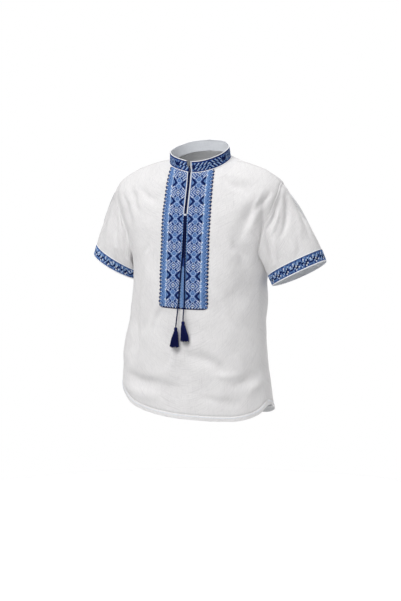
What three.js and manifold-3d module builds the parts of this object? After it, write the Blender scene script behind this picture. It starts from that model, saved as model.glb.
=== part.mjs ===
import * as THREE from "three";
import Module from "manifold-3d";

// Sizes in millimetres. The front faces -Y, the wearer's left is +X and up is +Z.
const clothWall = 1.4;
const hemWall = 2.3;
const seamGap = 0.3;
const layerGap = 0.3;
const plastronWall = 1.3;
const plastronHalf = 69;
const plastronShift = 2.2;
const plastronFoot = 0.628;
const slitFoot = 0.195;
const pipingWidth = 3.5;
const pipingWall = 1;
const collarHeight = 28;
const collarWall = 2;
const collarPipingHeight = 1.8;
const cuffHeight = 30;
const cuffWall = 1.7;
const cuffSeamGap = 0.55;
const cordRadius = 1.4;
const tasselLength = 52;
const tasselHang = {
  right: { lean: -4, spread: 1 },
  left: { lean: 4.5, spread: 0.88 },
};
const strandRings = [
  { count: 1, root: 0, tip: 0 },
  { count: 5, root: 1.3, tip: 4.2 },
  { count: 10, root: 2.5, tip: 8.4 },
  { count: 15, root: 3.7, tip: 12.6 },
];

// Rings round the body, from the neck seam (at 0) to the hem (at 1): half width, depth in front, depth behind,
// height at the sides, in front and behind, squareness, and shift of both sides to the left.
const rings = [
  { at: 0, wide: 82, front: 72, back: 66, zSide: 0, zFront: -34, zBack: 24, square: 2.05, shift: 0 },
  { at: 0.05, wide: 112, front: 78, back: 84, zSide: -3, zFront: -62, zBack: 0, square: 2.1, shift: 0 },
  { at: 0.1, wide: 148, front: 83, back: 98, zSide: -12, zFront: -90, zBack: -32, square: 2.15, shift: 0 },
  { at: 0.16, wide: 190, front: 88, back: 108, zSide: -29, zFront: -122, zBack: -62, square: 2.2, shift: -2 },
  { at: 0.22, wide: 232, front: 93, back: 114, zSide: -59, zFront: -155, zBack: -104, square: 2.3, shift: -5 },
  { at: 0.29, wide: 227, front: 98, back: 117, zSide: -112, zFront: -190, zBack: -150, square: 2.35, shift: -4 },
  { at: 0.36, wide: 212, front: 102, back: 118, zSide: -166, zFront: -225, zBack: -200, square: 2.35, shift: -2 },
  { at: 0.42, wide: 199, front: 105, back: 117, zSide: -215, zFront: -256, zBack: -238, square: 2.35, shift: 0 },
  { at: 0.47, wide: 189, front: 107, back: 115, zSide: -256, zFront: -283, zBack: -270, square: 2.35, shift: 0 },
  { at: 0.56, wide: 183, front: 110, back: 112, zSide: -318, zFront: -336, zBack: -328, square: 2.3, shift: -3 },
  { at: 0.66, wide: 185, front: 112, back: 110, zSide: -390, zFront: -398, zBack: -394, square: 2.3, shift: -8 },
  { at: 0.76, wide: 190, front: 116, back: 112, zSide: -462, zFront: -462, zBack: -462, square: 2.3, shift: -12 },
  { at: 0.84, wide: 199, front: 121, back: 116, zSide: -520, zFront: -520, zBack: -520, square: 2.3, shift: -15 },
  { at: 0.92, wide: 203, front: 125, back: 120, zSide: -580, zFront: -580, zBack: -580, square: 2.3, shift: -13 },
  { at: 1, wide: 208, front: 130, back: 124, zSide: -640, zFront: -640, zBack: -640, square: 2.3, shift: -8 },
];

// Height of the neck seam by angle round the neck: 0 in front, 90 at the wearer's left, 180 behind.
const neckLine = [
  { at: -180, z: 26 },
  { at: -145, z: 21 },
  { at: -118, z: 11 },
  { at: -98, z: 3 },
  { at: -85, z: -2 },
  { at: -68, z: -8 },
  { at: -47, z: -17 },
  { at: -23, z: -26 },
  { at: 0, z: -33.5 },
  { at: 15, z: -34.5 },
  { at: 31, z: -31 },
  { at: 51, z: -23 },
  { at: 72, z: -12 },
  { at: 90, z: -2 },
  { at: 112, z: 7 },
  { at: 142, z: 20 },
  { at: 180, z: 26 },
];

// Height of the hem by the same angle.
const hemLine = [
  { at: -180, z: -676 },
  { at: -130, z: -655 },
  { at: -90, z: -594 },
  { at: -62, z: -609 },
  { at: -38, z: -637 },
  { at: 0, z: -654 },
  { at: 40, z: -654 },
  { at: 66, z: -642 },
  { at: 84, z: -622 },
  { at: 100, z: -638 },
  { at: 135, z: -668 },
  { at: 180, z: -676 },
];

// Angle of each panel's side edge from the neck seam to the underarm: shoulder seam, then armhole.
const sideEdge = [
  { at: 0, front: 90, back: 90 },
  { at: 0.22, front: 90, back: 90 },
  { at: 0.228, front: 84, back: 96 },
  { at: 0.242, front: 79.5, back: 100.5 },
  { at: 0.265, front: 75.5, back: 104.5 },
  { at: 0.29, front: 72.5, back: 107 },
  { at: 0.325, front: 69, back: 109.5 },
  { at: 0.36, front: 67, back: 111 },
  { at: 0.42, front: 67.5, back: 110 },
  { at: 0.455, front: 74, back: 101 },
  { at: 0.47, front: 85, back: 85 },
];
const shoulder = 0.22;
const underarm = 0.47;
const seamTurn = 5;

// Slit down the middle of the front: where its middle and its edges lie, by place between neck seam and hem.
const slitLine = [
  { at: 0, middle: 3.2, half: 3 },
  { at: 0.05, middle: 3.2, half: 3 },
  { at: 0.195, middle: 1.2, half: 2.9 },
  { at: 0.23, middle: 1.2, half: 1.2 },
  { at: 0.45, middle: 1.4, half: 1 },
  { at: 0.63, middle: 1.2, half: 1 },
  { at: 1, middle: 1, half: 1 },
];

// Largest folds: a soft trough (depth below 0) or ridge between two points given by x and z.
const folds = [
  { side: "front", x0: 196, z0: -80, x1: 158, z1: -200, wide: 15, deep: -5 },
  { side: "front", x0: 205, z0: -90, x1: 190, z1: -170, wide: 10, deep: 3 },
  { side: "front", x0: 118, z0: -370, x1: 180, z1: -530, wide: 20, deep: -4 },
  { side: "front", x0: -120, z0: -215, x1: -138, z1: -375, wide: 18, deep: 3.5 },
  { side: "front", x0: -196, z0: -90, x1: -165, z1: -200, wide: 14, deep: -4 },
  { side: "front", x0: -190, z0: -565, x1: -50, z1: -582, wide: 14, deep: -4 },
  { side: "front", x0: 100, z0: -575, x1: 175, z1: -545, wide: 15, deep: -3.5 },
  { side: "back", x0: -120, z0: -180, x1: -95, z1: -420, wide: 20, deep: -5 },
  { side: "back", x0: 110, z0: -170, x1: 85, z1: -440, wide: 20, deep: -5 },
  { side: "back", x0: 0, z0: -330, x1: 20, z1: -600, wide: 24, deep: 4 },
  { side: "back", x0: -150, z0: -450, x1: -60, z1: -560, wide: 18, deep: -4 },
];

// Cuff rings: middle of the opening, its half width and half depth, and its lean from level.
const cuffMiddle = new THREE.Vector3(264, 28, -290);
const cuffHalfWide = 77;
const cuffHalfDeep = 57;
const cuffLean = 26.6;
const cuffBackDrop = 7;
const sleeveFullness = 12;
const sleeveRoundness = 9;

// Path of each cord: distance from the middle of the front, height, and distance in front of the cloth.
const cordPaths = {
  right: [
    { s: 0.9, z: -17, out: -2.4 },
    { s: 1.7, z: -26, out: 1.2 },
    { s: 1.7, z: -38, out: 3.3 },
    { s: 1.6, z: -70, out: 3.4 },
    { s: 0.6, z: -105, out: 3.4 },
    { s: -0.3, z: -141, out: 3.4 },
    { s: -0.6, z: -165, out: 3.5 },
    { s: -1.2, z: -210, out: 3.6 },
    { s: -1.8, z: -250, out: 3.8 },
    { s: -5, z: -310, out: 4 },
    { s: -8.4, z: -370, out: 5 },
    { s: -10.2, z: -412, out: 11.4 },
    { s: -10.4, z: -424, out: 12.4 },
  ],
  left: [
    { s: 4.6, z: -24, out: -3 },
    { s: 4.7, z: -32, out: 0.4 },
    { s: 4.7, z: -41, out: 3.3 },
    { s: 4.6, z: -70, out: 3.4 },
    { s: 3.6, z: -105, out: 3.4 },
    { s: 2.7, z: -141, out: 3.4 },
    { s: 3, z: -165, out: 3.5 },
    { s: 4.4, z: -210, out: 3.6 },
    { s: 6.2, z: -250, out: 3.8 },
    { s: 7.4, z: -310, out: 4 },
    { s: 8.2, z: -370, out: 5 },
    { s: 8.6, z: -397, out: 9.8 },
    { s: 8.8, z: -408, out: 10.6 },
  ],
};

const white = 0xf4f3f1;
const blue = 0x2f4f9e;
const navy = 0x111a4c;

const rad = Math.PI / 180;
const clamp = (x, low, high) => Math.min(high, Math.max(low, x));
const mix = (a, b, t) => a + (b - a) * t;
const smooth = (t) => clamp(t, 0, 1) ** 2 * (3 - 2 * clamp(t, 0, 1));

// Smooth value of a table's column at a place along it.
function along(table, place, column) {
  let i = 0;
  while (i < table.length - 2 && place > table[i + 1].at) i += 1;
  const a = table[i];
  const b = table[i + 1];
  const before = table[i - 1] || a;
  const after = table[i + 2] || b;
  const span = b.at - a.at;
  const t = clamp((place - a.at) / span, 0, 1);
  const slopeA = (span * (b[column] - before[column])) / (b.at - before.at);
  const slopeB = (span * (after[column] - a[column])) / (after.at - a.at);
  const flat = a[column] === b[column];
  const h1 = t * t * (3 - 2 * t);
  const h2 = t * (1 - t) * (1 - t);
  const h3 = t * t * (t - 1);
  return mix(a[column], b[column], h1) + (flat ? 0 : slopeA * h2 + slopeB * h3);
}

// Angle of a panel's side edge; below the underarm both panels share the side seam.
function sideAngle(v, side) {
  if (v < underarm) return along(sideEdge, v, side);
  return along(sideEdge, underarm, side) - seamTurn * smooth((v - underarm) / 0.1);
}

// Sum of the folds at a point.
function foldDepth(point) {
  const side = point.y < 0 ? "front" : "back";
  let sum = 0;
  for (const fold of folds) {
    if (fold.side !== side) continue;
    const dx = fold.x1 - fold.x0;
    const dz = fold.z1 - fold.z0;
    const t = ((point.x - fold.x0) * dx + (point.z - fold.z0) * dz) / (dx * dx + dz * dz);
    const near = clamp(t, 0, 1);
    const far = Math.hypot(point.x - fold.x0 - dx * near, point.z - fold.z0 - dz * near);
    const taper = 0.35 + 0.65 * Math.sin(Math.PI * near);
    sum += fold.deep * taper * Math.exp(-((far / fold.wide) ** 2));
  }
  return sum * smooth((Math.abs(point.y) - 12) / 35);
}

// Point of the body form before folds, at a place between neck seam and hem and an angle in degrees.
function formPoint(v, angle) {
  const s = Math.sin(angle * rad);
  const c = Math.cos(angle * rad);
  const power = 2 / along(rings, v, "square");
  const depth = along(rings, v, c > 0 ? "front" : "back");
  const height = (place) => {
    const zSide = along(rings, place, "zSide");
    const zEnd = along(rings, place, c > 0 ? "zFront" : "zBack");
    return zSide + (zEnd - zSide) * Math.abs(c) ** 1.5;
  };
  const atNeck = (along(neckLine, angle, "z") - height(0)) * (1 - smooth(v / 0.14));
  const atHem = (along(hemLine, angle, "z") - height(1)) * smooth((v - 0.5) / 0.5);
  return new THREE.Vector3(
    along(rings, v, "shift") * Math.abs(s) + along(rings, v, "wide") * Math.sign(s) * Math.abs(s) ** power,
    -depth * Math.sign(c) * Math.abs(c) ** power,
    height(v) + atNeck + atHem,
  );
}

// Outward direction of the body form.
function formNormal(v, angle) {
  const down = formPoint(Math.min(v + 0.004, 1), angle).sub(formPoint(Math.max(v - 0.004, 0), angle));
  const side = angle > 0 ? [angle - 1.2, angle] : [angle, angle + 1.2];
  const round = formPoint(v, Math.min(side[1] + 0.6, 180)).sub(formPoint(v, Math.max(side[0] - 0.6, -180)));
  return down.cross(round).normalize();
}

function bodyPoint(v, angle, out = 0) {
  const point = formPoint(v, angle);
  return point.addScaledVector(formNormal(v, angle), foldDepth(point) + out);
}

// Angle at a distance round the ring from the middle of the front, and the other way round.
const ringLengths = new Map();
function ringList(v, sign) {
  const key = sign * (v + 1);
  if (!ringLengths.has(key)) {
    const list = [{ angle: 0, length: 0 }];
    let last = formPoint(v, 0);
    for (let angle = 1.5; angle <= 120; angle += 1.5) {
      const next = formPoint(v, sign * angle);
      list.push({ angle, length: list[list.length - 1].length + next.distanceTo(last) });
      last = next;
    }
    ringLengths.set(key, list);
  }
  return ringLengths.get(key);
}

function ringAngle(v, distance) {
  const list = ringList(v, distance < 0 ? -1 : 1);
  const want = Math.abs(distance);
  let i = 1;
  while (i < list.length - 1 && list[i].length < want) i += 1;
  const t = (want - list[i - 1].length) / (list[i].length - list[i - 1].length);
  return Math.sign(distance) * mix(list[i - 1].angle, list[i].angle, t);
}

function ringDistance(v, angle, sign) {
  const list = ringList(v, sign);
  const i = clamp(Math.ceil(angle / 1.5), 1, list.length - 1);
  const t = (angle - list[i - 1].angle) / 1.5;
  return mix(list[i - 1].length, list[i].length, t);
}

// Closed solid between an outer and an inner grid of points; keep says which cells are there.
function wall(outer, inner, { wrap = false, keep = () => true } = {}) {
  const rows = outer.length;
  const columns = outer[0].length;
  const cellColumns = wrap ? columns : columns - 1;
  const points = [...outer.flat(), ...inner.flat()];
  const at = (i, j) => i * columns + (j % columns);
  const back = rows * columns;
  const there = (i, j) => {
    if (i < 0 || i >= rows - 1) return false;
    if (!wrap && (j < 0 || j >= cellColumns)) return false;
    return keep(i, (j + cellColumns) % cellColumns);
  };
  const faces = [];
  const quad = (a, b, c, d) => faces.push(a, b, c, a, c, d);
  for (let i = 0; i < rows - 1; i += 1) {
    for (let j = 0; j < cellColumns; j += 1) {
      if (!there(i, j)) continue;
      const a = at(i, j);
      const b = at(i, j + 1);
      const c = at(i + 1, j + 1);
      const d = at(i + 1, j);
      quad(a, d, c, b);
      quad(back + a, back + b, back + c, back + d);
      const rim = (p, q) => quad(q, p, back + p, back + q);
      if (!there(i, j - 1)) rim(a, d);
      if (!there(i + 1, j)) rim(d, c);
      if (!there(i, j + 1)) rim(c, b);
      if (!there(i - 1, j)) rim(b, a);
    }
  }
  return meshGeometry(points, faces);
}

function meshGeometry(points, faces) {
  const geometry = new THREE.BufferGeometry();
  geometry.setAttribute("position", new THREE.Float32BufferAttribute(points.flatMap((p) => p.toArray()), 3));
  geometry.setIndex(faces);
  return geometry.toNonIndexed();
}

// Closed rod along a path, with a radius at each point.
function rod(path, radii, sides) {
  const points = [];
  const faces = [];
  let across = new THREE.Vector3(1, 0, 0);
  path.forEach((point, i) => {
    const from = path[Math.max(i - 1, 0)];
    const to = path[Math.min(i + 1, path.length - 1)];
    const forward = to.clone().sub(from).normalize();
    across = across.sub(forward.clone().multiplyScalar(across.dot(forward))).normalize();
    const other = forward.clone().cross(across);
    for (let k = 0; k < sides; k += 1) {
      const turn = (2 * Math.PI * k) / sides;
      const ring = point.clone().addScaledVector(across, radii[i] * Math.cos(turn));
      points.push(ring.addScaledVector(other, radii[i] * Math.sin(turn)));
    }
  });
  for (let i = 0; i < path.length - 1; i += 1) {
    for (let k = 0; k < sides; k += 1) {
      const a = i * sides + k;
      const b = i * sides + ((k + 1) % sides);
      faces.push(a, b, b + sides, a, b + sides, a + sides);
    }
  }
  const end = (path.length - 1) * sides;
  for (let k = 1; k < sides - 1; k += 1) {
    faces.push(0, k + 1, k, end, end + k, end + k + 1);
  }
  return meshGeometry(points, faces);
}

// Places of the rows between neck seam and hem.
const bodyRows = [
  0, 0.02, 0.045, 0.07, 0.1, 0.13, 0.16, 0.195, 0.22, 0.228, 0.242, 0.265, 0.29, 0.325, 0.36, 0.39, 0.42, 0.44, 0.455, 0.47,
  0.5, 0.53, 0.56, 0.6, 0.628, 0.66, 0.7, 0.74, 0.78, 0.82, 0.86, 0.9, 0.94, 0.975, 1,
];
const plaitColumns = [8, 24, 46, plastronHalf];
const sideShares = [0.18, 0.38, 0.58, 0.78, 0.92, 1];

// Distances round the front at one row, from the wearer's right to the wearer's left.
function frontDistances(v) {
  const middle = along(slitLine, v, "middle");
  const half = along(slitLine, v, "half");
  const oneSide = (sign) => {
    const edge = ringDistance(v, sideAngle(v, "front"), sign) - seamGap / 2;
    return [
      middle + sign * half,
      ...plaitColumns.map((s) => sign * s + mix(middle, plastronShift, s / plastronHalf)),
      ...sideShares.map((share) => mix(sign * plastronHalf + plastronShift, sign * edge, share)),
    ];
  };
  return [...oneSide(-1).reverse(), ...oneSide(1)];
}
const frontColumns = 2 * (1 + plaitColumns.length + sideShares.length);
const middleCell = frontColumns / 2 - 1;

function wallAt(v) {
  return mix(clothWall, hemWall, smooth((v - 0.965) / 0.012));
}

// A panel of the body from rows of angles; its hem is thicker than the rest and stands a little proud.
function bodyPanel(angleRows, keep) {
  const grid = (depth) => angleRows.map((angles, i) => {
    const v = bodyRows[i];
    const proud = 0.45 * smooth((v - 0.965) / 0.012);
    return angles.map((angle) => bodyPoint(v, angle, proud - depth * wallAt(v)));
  });
  return wall(grid(0), grid(1), { keep });
}

function frontGeometry() {
  const angles = bodyRows.map((v) => frontDistances(v).map((s) => ringAngle(v, s)));
  const slitRow = bodyRows.indexOf(slitFoot);
  return bodyPanel(angles, (i, j) => j !== middleCell || i >= slitRow);
}

function backGeometry() {
  const columns = 18;
  const angles = bodyRows.map((v) => {
    const edgeAngle = sideAngle(v, "back");
    const gapAngle = (0.5 * seamGap) / (along(rings, v, "back") * rad);
    const first = edgeAngle + gapAngle;
    const row = [];
    for (let j = 0; j <= columns; j += 1) {
      const share = j / columns;
      row.push(mix(first, 360 - first, share));
    }
    return row.map((angle) => (angle > 180 ? angle - 360 : angle));
  });
  return bodyPanel(angles);
}

// One half of the plastron, made from the front's own points moved out.
function plastronGeometry(sign) {
  const last = bodyRows.indexOf(plastronFoot);
  const first = sign > 0 ? middleCell + 1 : middleCell - plaitColumns.length;
  const grid = (out) => bodyRows.slice(0, last + 1).map((v, i) => {
    const distances = frontDistances(v).slice(first, first + plaitColumns.length + 1);
    const foot = i === last ? 6 : 0;
    const outer = sign > 0 ? distances.length - 1 : 0;
    distances[outer] -= sign * foot;
    return distances.map((s) => bodyPoint(v, ringAngle(v, s), out));
  });
  return wall(grid(layerGap + plastronWall), grid(layerGap));
}

// The strip of piping down one side of the slit, on top of the plastron.
function slitPipingGeometry(sign) {
  const last = bodyRows.indexOf(slitFoot);
  const rows = bodyRows.slice(0, last);
  const base = 2 * layerGap + plastronWall;
  const place = (v, out) => {
    const edge = along(slitLine, v, "middle") + sign * (along(slitLine, v, "half") + 0.15);
    const ends = [edge, edge + sign * pipingWidth];
    if (sign < 0) ends.reverse();
    return ends.map((s) => bodyPoint(v, ringAngle(v, s), out));
  };
  const grid = (out) => [...rows.map((v) => place(v, out)), place(0.182, out)];
  return wall(grid(base + pipingWall), grid(base));
}

// Collar: a standing ring from the wearer's left end, behind the neck, to the wearer's right end.
const collarColumns = 40;
function collarPoint(share, height, out) {
  const tall = height / collarHeight;
  const first = 7.2;
  const last = 360.4 - 4 * smooth(tall * 1.4 - 0.2);
  const turn = mix(first, last, share);
  const angle = turn > 180 ? turn - 360 : turn;
  const s = Math.sin(angle * rad);
  const c = Math.cos(angle * rad);
  const behind = 0.5 - 0.5 * c;
  const wide = 82 - 2 * tall + out;
  const deep = (c > 0 ? 72 : 66) - 2.5 * tall * behind + out;
  return new THREE.Vector3(wide * s - 1.5 * tall, -deep * c, along(neckLine, angle, "z") + height);
}

function collarBand(heights, outs) {
  const grid = (out) => heights.map((height) => {
    const row = [];
    for (let j = 0; j <= collarColumns; j += 1) row.push(collarPoint(j / collarColumns, height, out));
    return row;
  });
  return wall(grid(outs[0]), grid(outs[1]));
}

function collarGeometry() {
  return collarBand([collarHeight, collarHeight / 2, 0.6], [0, -collarWall]);
}

function collarPipingGeometry() {
  const low = collarHeight + seamGap;
  return collarBand([low + collarPipingHeight, low], [0.3, -collarWall - 0.1]);
}

// Armhole edge of the body at a place between neck seam and hem, the wearer's right turned over to the left.
function armholePoint(v, side, sign) {
  const angle = sign * sideAngle(v, side);
  const turnOver = new THREE.Vector3(sign, 1, 1);
  return { point: bodyPoint(v, angle).multiply(turnOver), normal: formNormal(v, angle).multiply(turnOver) };
}

// Loop round one armhole at the panels' own rows, up the front and down the back, each with its
// turn round the sleeve: 0 at the underarm and half a turn at the shoulder.
function armholeLoop(sign) {
  const rows = bodyRows.filter((v) => v >= shoulder && v <= underarm);
  const half = (side, places, from) => {
    const list = places.map((v) => armholePoint(v, side, sign));
    const lengths = [0];
    for (let k = 1; k < list.length; k += 1) {
      lengths.push(lengths[k - 1] + list[k].point.distanceTo(list[k - 1].point));
    }
    list.forEach((one, k) => {
      one.turn = Math.PI * (from + lengths[k] / lengths[lengths.length - 1]);
    });
    return list.slice(0, -1);
  };
  const loop = [...half("front", [...rows].reverse(), 0), ...half("back", rows, 1)];
  const middle = loop.reduce((sum, one) => sum.add(one.point), new THREE.Vector3()).divideScalar(loop.length);
  loop.forEach((one, k) => {
    const next = loop[(k + 1) % loop.length].point;
    const last = loop[(k + loop.length - 1) % loop.length].point;
    one.away = next.clone().sub(last).normalize().cross(one.normal).normalize();
    if (one.away.dot(middle.clone().sub(one.point)) < 0) one.away.negate();
  });
  return loop;
}

// Point of the cuff's lower edge, by the same turn as the armhole loop.
function cuffPoint(turn) {
  const outward = new THREE.Vector3(Math.cos(cuffLean * rad), 0, Math.sin(cuffLean * rad));
  const arm = new THREE.Vector3(Math.sin(cuffLean * rad), 0, -Math.cos(cuffLean * rad));
  const behind = Math.max(0, -Math.sin(turn));
  return cuffMiddle.clone()
    .addScaledVector(outward, -cuffHalfWide * Math.cos(turn))
    .add(new THREE.Vector3(0, -cuffHalfDeep * Math.sin(turn), 0))
    .addScaledVector(arm, cuffBackDrop * behind);
}

// Grid of the sleeve with its cuff: rows from the armhole to the cuff's lower edge.
const sleeveShares = [0, 0.08, 0.18, 0.3, 0.43, 0.56, 0.7, 0.85, 1];
const cuffDistances = [cuffHeight, cuffHeight / 2, 0];
function sleeveGrid(sign) {
  const loop = armholeLoop(sign);
  const arm = new THREE.Vector3(Math.sin(cuffLean * rad), 0.04, -Math.cos(cuffLean * rad)).normalize();
  const outward = new THREE.Vector3(Math.cos(cuffLean * rad), 0, Math.sin(cuffLean * rad));
  const columns = loop.map((one) => {
    const high = 0.5 - 0.5 * Math.cos(one.turn);
    const start = one.point.clone()
      .addScaledVector(one.away, 0.45)
      .addScaledVector(one.normal, 0.9 * (1 - smooth(high * 1.6)));
    const end = cuffPoint(one.turn);
    const reach = start.distanceTo(end);
    const leave = one.away.clone().multiplyScalar(0.75 * high + 0.1).addScaledVector(arm, 1 - 0.5 * high);
    leave.normalize().multiplyScalar(reach);
    const arrive = arm.clone().multiplyScalar(0.9 * reach);
    const fine = [];
    for (let m = 0; m <= 40; m += 1) {
      const t = m / 40;
      const point = start.clone().multiplyScalar(2 * t ** 3 - 3 * t ** 2 + 1);
      point.addScaledVector(leave, t ** 3 - 2 * t ** 2 + t);
      point.addScaledVector(end, -2 * t ** 3 + 3 * t ** 2);
      point.addScaledVector(arrive, t ** 3 - t ** 2);
      point.addScaledVector(outward, sleeveFullness * high ** 2 * Math.sin(Math.PI * t ** 0.75));
      point.y -= sleeveRoundness * Math.sin(one.turn) * Math.sin(Math.PI * t ** 0.85);
      fine.push(point);
    }
    const lengths = [0];
    for (let m = 1; m <= 40; m += 1) lengths.push(lengths[m - 1] + fine[m].distanceTo(fine[m - 1]));
    const total = lengths[40];
    const pick = (length) => {
      let i = 1;
      while (i < 40 && lengths[i] < length) i += 1;
      return fine[i - 1].clone().lerp(fine[i], (length - lengths[i - 1]) / (lengths[i] - lengths[i - 1]));
    };
    const cloth = total - cuffHeight - cuffSeamGap;
    return [
      ...sleeveShares.map((share) => pick(share * cloth)),
      ...cuffDistances.map((distance) => pick(total - distance)),
    ];
  });
  return columns[0].map((_, i) => columns.map((column) => column[i]));
}

// Outward directions over the sleeve and cuff grid; both edges of the seam between them share one.
function sleeveNormals(grid) {
  const count = grid[0].length;
  const normals = grid.map((row, i) => row.map((_, j) => {
    const down = grid[Math.min(i + 1, grid.length - 1)][j].clone().sub(grid[Math.max(i - 1, 0)][j]);
    const round = row[(j + 1) % count].clone().sub(row[(j + count - 1) % count]);
    return down.cross(round).normalize();
  }));
  normals[sleeveShares.length - 1] = normals[sleeveShares.length];
  return normals;
}

function moved(grid, normals, out) {
  return grid.map((row, i) => row.map((point, j) => point.clone().addScaledVector(normals[i][j], out)));
}

function mirrored(geometry) {
  const position = geometry.getAttribute("position");
  for (let i = 0; i < position.count; i += 3) {
    const corner = [0, 1, 2].map((k) => new THREE.Vector3().fromBufferAttribute(position, i + k));
    [corner[0], corner[2], corner[1]].forEach((p, k) => position.setXYZ(i + k, -p.x, p.y, p.z));
  }
  return geometry;
}

function sleeveGeometry(sign) {
  const grid = sleeveGrid(sign);
  const normals = sleeveNormals(grid);
  const rows = sleeveShares.length;
  const cloth = grid.slice(0, rows);
  return wall(cloth, moved(cloth, normals.slice(0, rows), -clothWall), { wrap: true });
}

function cuffGeometry(sign) {
  const grid = sleeveGrid(sign);
  const normals = sleeveNormals(grid);
  const rows = sleeveShares.length;
  const band = grid.slice(rows);
  const out = normals.slice(rows);
  return wall(moved(band, out, 0.25), moved(band, out, 0.25 - cuffWall), { wrap: true });
}

// Point in front of the cloth, by distance from the middle, height and distance out.
function frontPoint(s, z, out) {
  let low = 0;
  let high = 1;
  for (let k = 0; k < 30; k += 1) {
    const v = (low + high) / 2;
    if (formPoint(v, s * 0.6).z > z) low = v;
    else high = v;
  }
  const v = low;
  const angle = Math.asin(clamp(s / along(rings, v, "wide"), -1, 1)) / rad;
  const point = bodyPoint(v, angle, out);
  return new THREE.Vector3(s, point.y, z);
}

function cordCurve(side) {
  const stops = cordPaths[side].map((stop) => frontPoint(stop.s, stop.z, stop.out));
  return new THREE.CatmullRomCurve3(stops, false, "centripetal").getSpacedPoints(44);
}

function cordGeometry(side) {
  const path = cordCurve(side);
  return rod(path, path.map(() => cordRadius), 6);
}

// Tassel: a bound head under the end of the cord and strands that fan from it.
function tasselGeometry(side, wasm) {
  const path = cordCurve(side);
  const top = path[path.length - 1].clone().add(new THREE.Vector3(0, 0, -seamGap));
  const solid = (geometry) => {
    const position = geometry.getAttribute("position").array;
    const seen = new Map();
    const vertices = [];
    const faces = [];
    for (let i = 0; i < position.length; i += 3) {
      const key = [0, 1, 2].map((k) => Math.round(position[i + k] * 1e4)).join();
      if (!seen.has(key)) {
        seen.set(key, vertices.length / 3);
        vertices.push(position[i], position[i + 1], position[i + 2]);
      }
      faces.push(seen.get(key));
    }
    const mesh = new wasm.Mesh({
      numProp: 3,
      vertProperties: new Float32Array(vertices),
      triVerts: new Uint32Array(faces),
    });
    return new wasm.Manifold(mesh);
  };
  const down = (z) => top.clone().add(new THREE.Vector3(0, 0, -z));
  const headStops = [
    { z: 0, r: 1.9 },
    { z: 2, r: 3.9 },
    { z: 5, r: 4.4 },
    { z: 8, r: 4.1 },
    { z: 10, r: 3.6 },
    { z: 12.5, r: 4.6 },
  ];
  let whole = solid(rod(headStops.map((stop) => down(stop.z)), headStops.map((stop) => stop.r), 10));
  strandRings.forEach((ring, n) => {
    for (let k = 0; k < ring.count; k += 1) {
      const turn = (2 * Math.PI * (k + 0.5 * (n % 2))) / ring.count;
      const uneven = 1.3 * Math.sin(k * 2.4 + n) - 1.5;
      const stops = [
        { z: 9, r: ring.root, thick: 0.5 },
        { z: 20, r: mix(ring.root, ring.tip, 0.42), thick: 0.62 },
        { z: 36, r: mix(ring.root, ring.tip, 0.78), thick: 0.75 },
        { z: tasselLength + uneven, r: ring.tip, thick: 0.8 },
      ];
      const { lean, spread } = tasselHang[side];
      const path3 = stops.map((stop) => {
        const low = smooth((stop.z - 9) / 34);
        const wide = stop.r * mix(1, spread, low);
        const deep = stop.r * mix(1, 0.55, low);
        const across = new THREE.Vector3(wide * Math.cos(turn) + lean * low, deep * Math.sin(turn), 0);
        return down(stop.z).add(across);
      });
      whole = whole.add(solid(rod(path3, stops.map((stop) => stop.thick), 3)));
    }
  });
  const made = whole.getMesh();
  const points = [];
  for (let i = 0; i < made.numVert; i += 1) {
    const at = i * made.numProp;
    points.push(new THREE.Vector3(...made.vertProperties.subarray(at, at + 3)));
  }
  return meshGeometry(points, [...made.triVerts]);
}

// Keeper: a small bridge over both cords at the foot of the slit.
function keeperGeometry() {
  const middle = along(slitLine, slitFoot, "middle");
  const low = 2 * layerGap + plastronWall;
  const high = low + 2 * cordRadius + 0.75;
  const wallThick = 0.9;
  const half = 2 * cordRadius + 0.45;
  const rim = [
    { s: -half - wallThick, out: low },
    { s: -half - wallThick, out: high - 0.8 },
    { s: -half + 0.8, out: high + wallThick },
    { s: half - 0.8, out: high + wallThick },
    { s: half + wallThick, out: high - 0.8 },
    { s: half + wallThick, out: low },
  ];
  const hollow = [
    { s: -half, out: low },
    { s: -half, out: high - 0.8 },
    { s: -half + 0.8, out: high },
    { s: half - 0.8, out: high },
    { s: half, out: high - 0.8 },
    { s: half, out: low },
  ];
  const grid = (line) => [-139.2, -143.8].map((z) => line.map((one) => frontPoint(middle + one.s, z, one.out)));
  return wall(grid(rim), grid(hollow));
}

function named(name, geometry, colour, roughness) {
  const material = new THREE.MeshStandardMaterial({ color: colour, roughness, metalness: 0 });
  const mesh = new THREE.Mesh(geometry, material);
  mesh.name = name;
  return mesh;
}

const wasm = await Module();
wasm.setup();
const shirt = new THREE.Group();
shirt.name = "folk_shirt";
shirt.add(
  named("front", frontGeometry(), white, 0.9),
  named("back", backGeometry(), white, 0.9),
  named("sleeve_left", sleeveGeometry(1), white, 0.9),
  named("sleeve_right", mirrored(sleeveGeometry(-1)), white, 0.9),
  named("collar", collarGeometry(), blue, 0.85),
  named("collar_piping", collarPipingGeometry(), white, 0.85),
  named("cuff_left", cuffGeometry(1), blue, 0.85),
  named("cuff_right", mirrored(cuffGeometry(-1)), blue, 0.85),
  named("plastron_left", plastronGeometry(1), blue, 0.85),
  named("plastron_right", plastronGeometry(-1), blue, 0.85),
  named("slit_piping_left", slitPipingGeometry(1), white, 0.85),
  named("slit_piping_right", slitPipingGeometry(-1), white, 0.85),
  named("keeper", keeperGeometry(), white, 0.8),
  named("cord_left", cordGeometry("left"), navy, 0.7),
  named("cord_right", cordGeometry("right"), navy, 0.7),
  named("tassel_left", tasselGeometry("left", wasm), navy, 0.75),
  named("tassel_right", tasselGeometry("right", wasm), navy, 0.75),
);

export default shirt;
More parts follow.
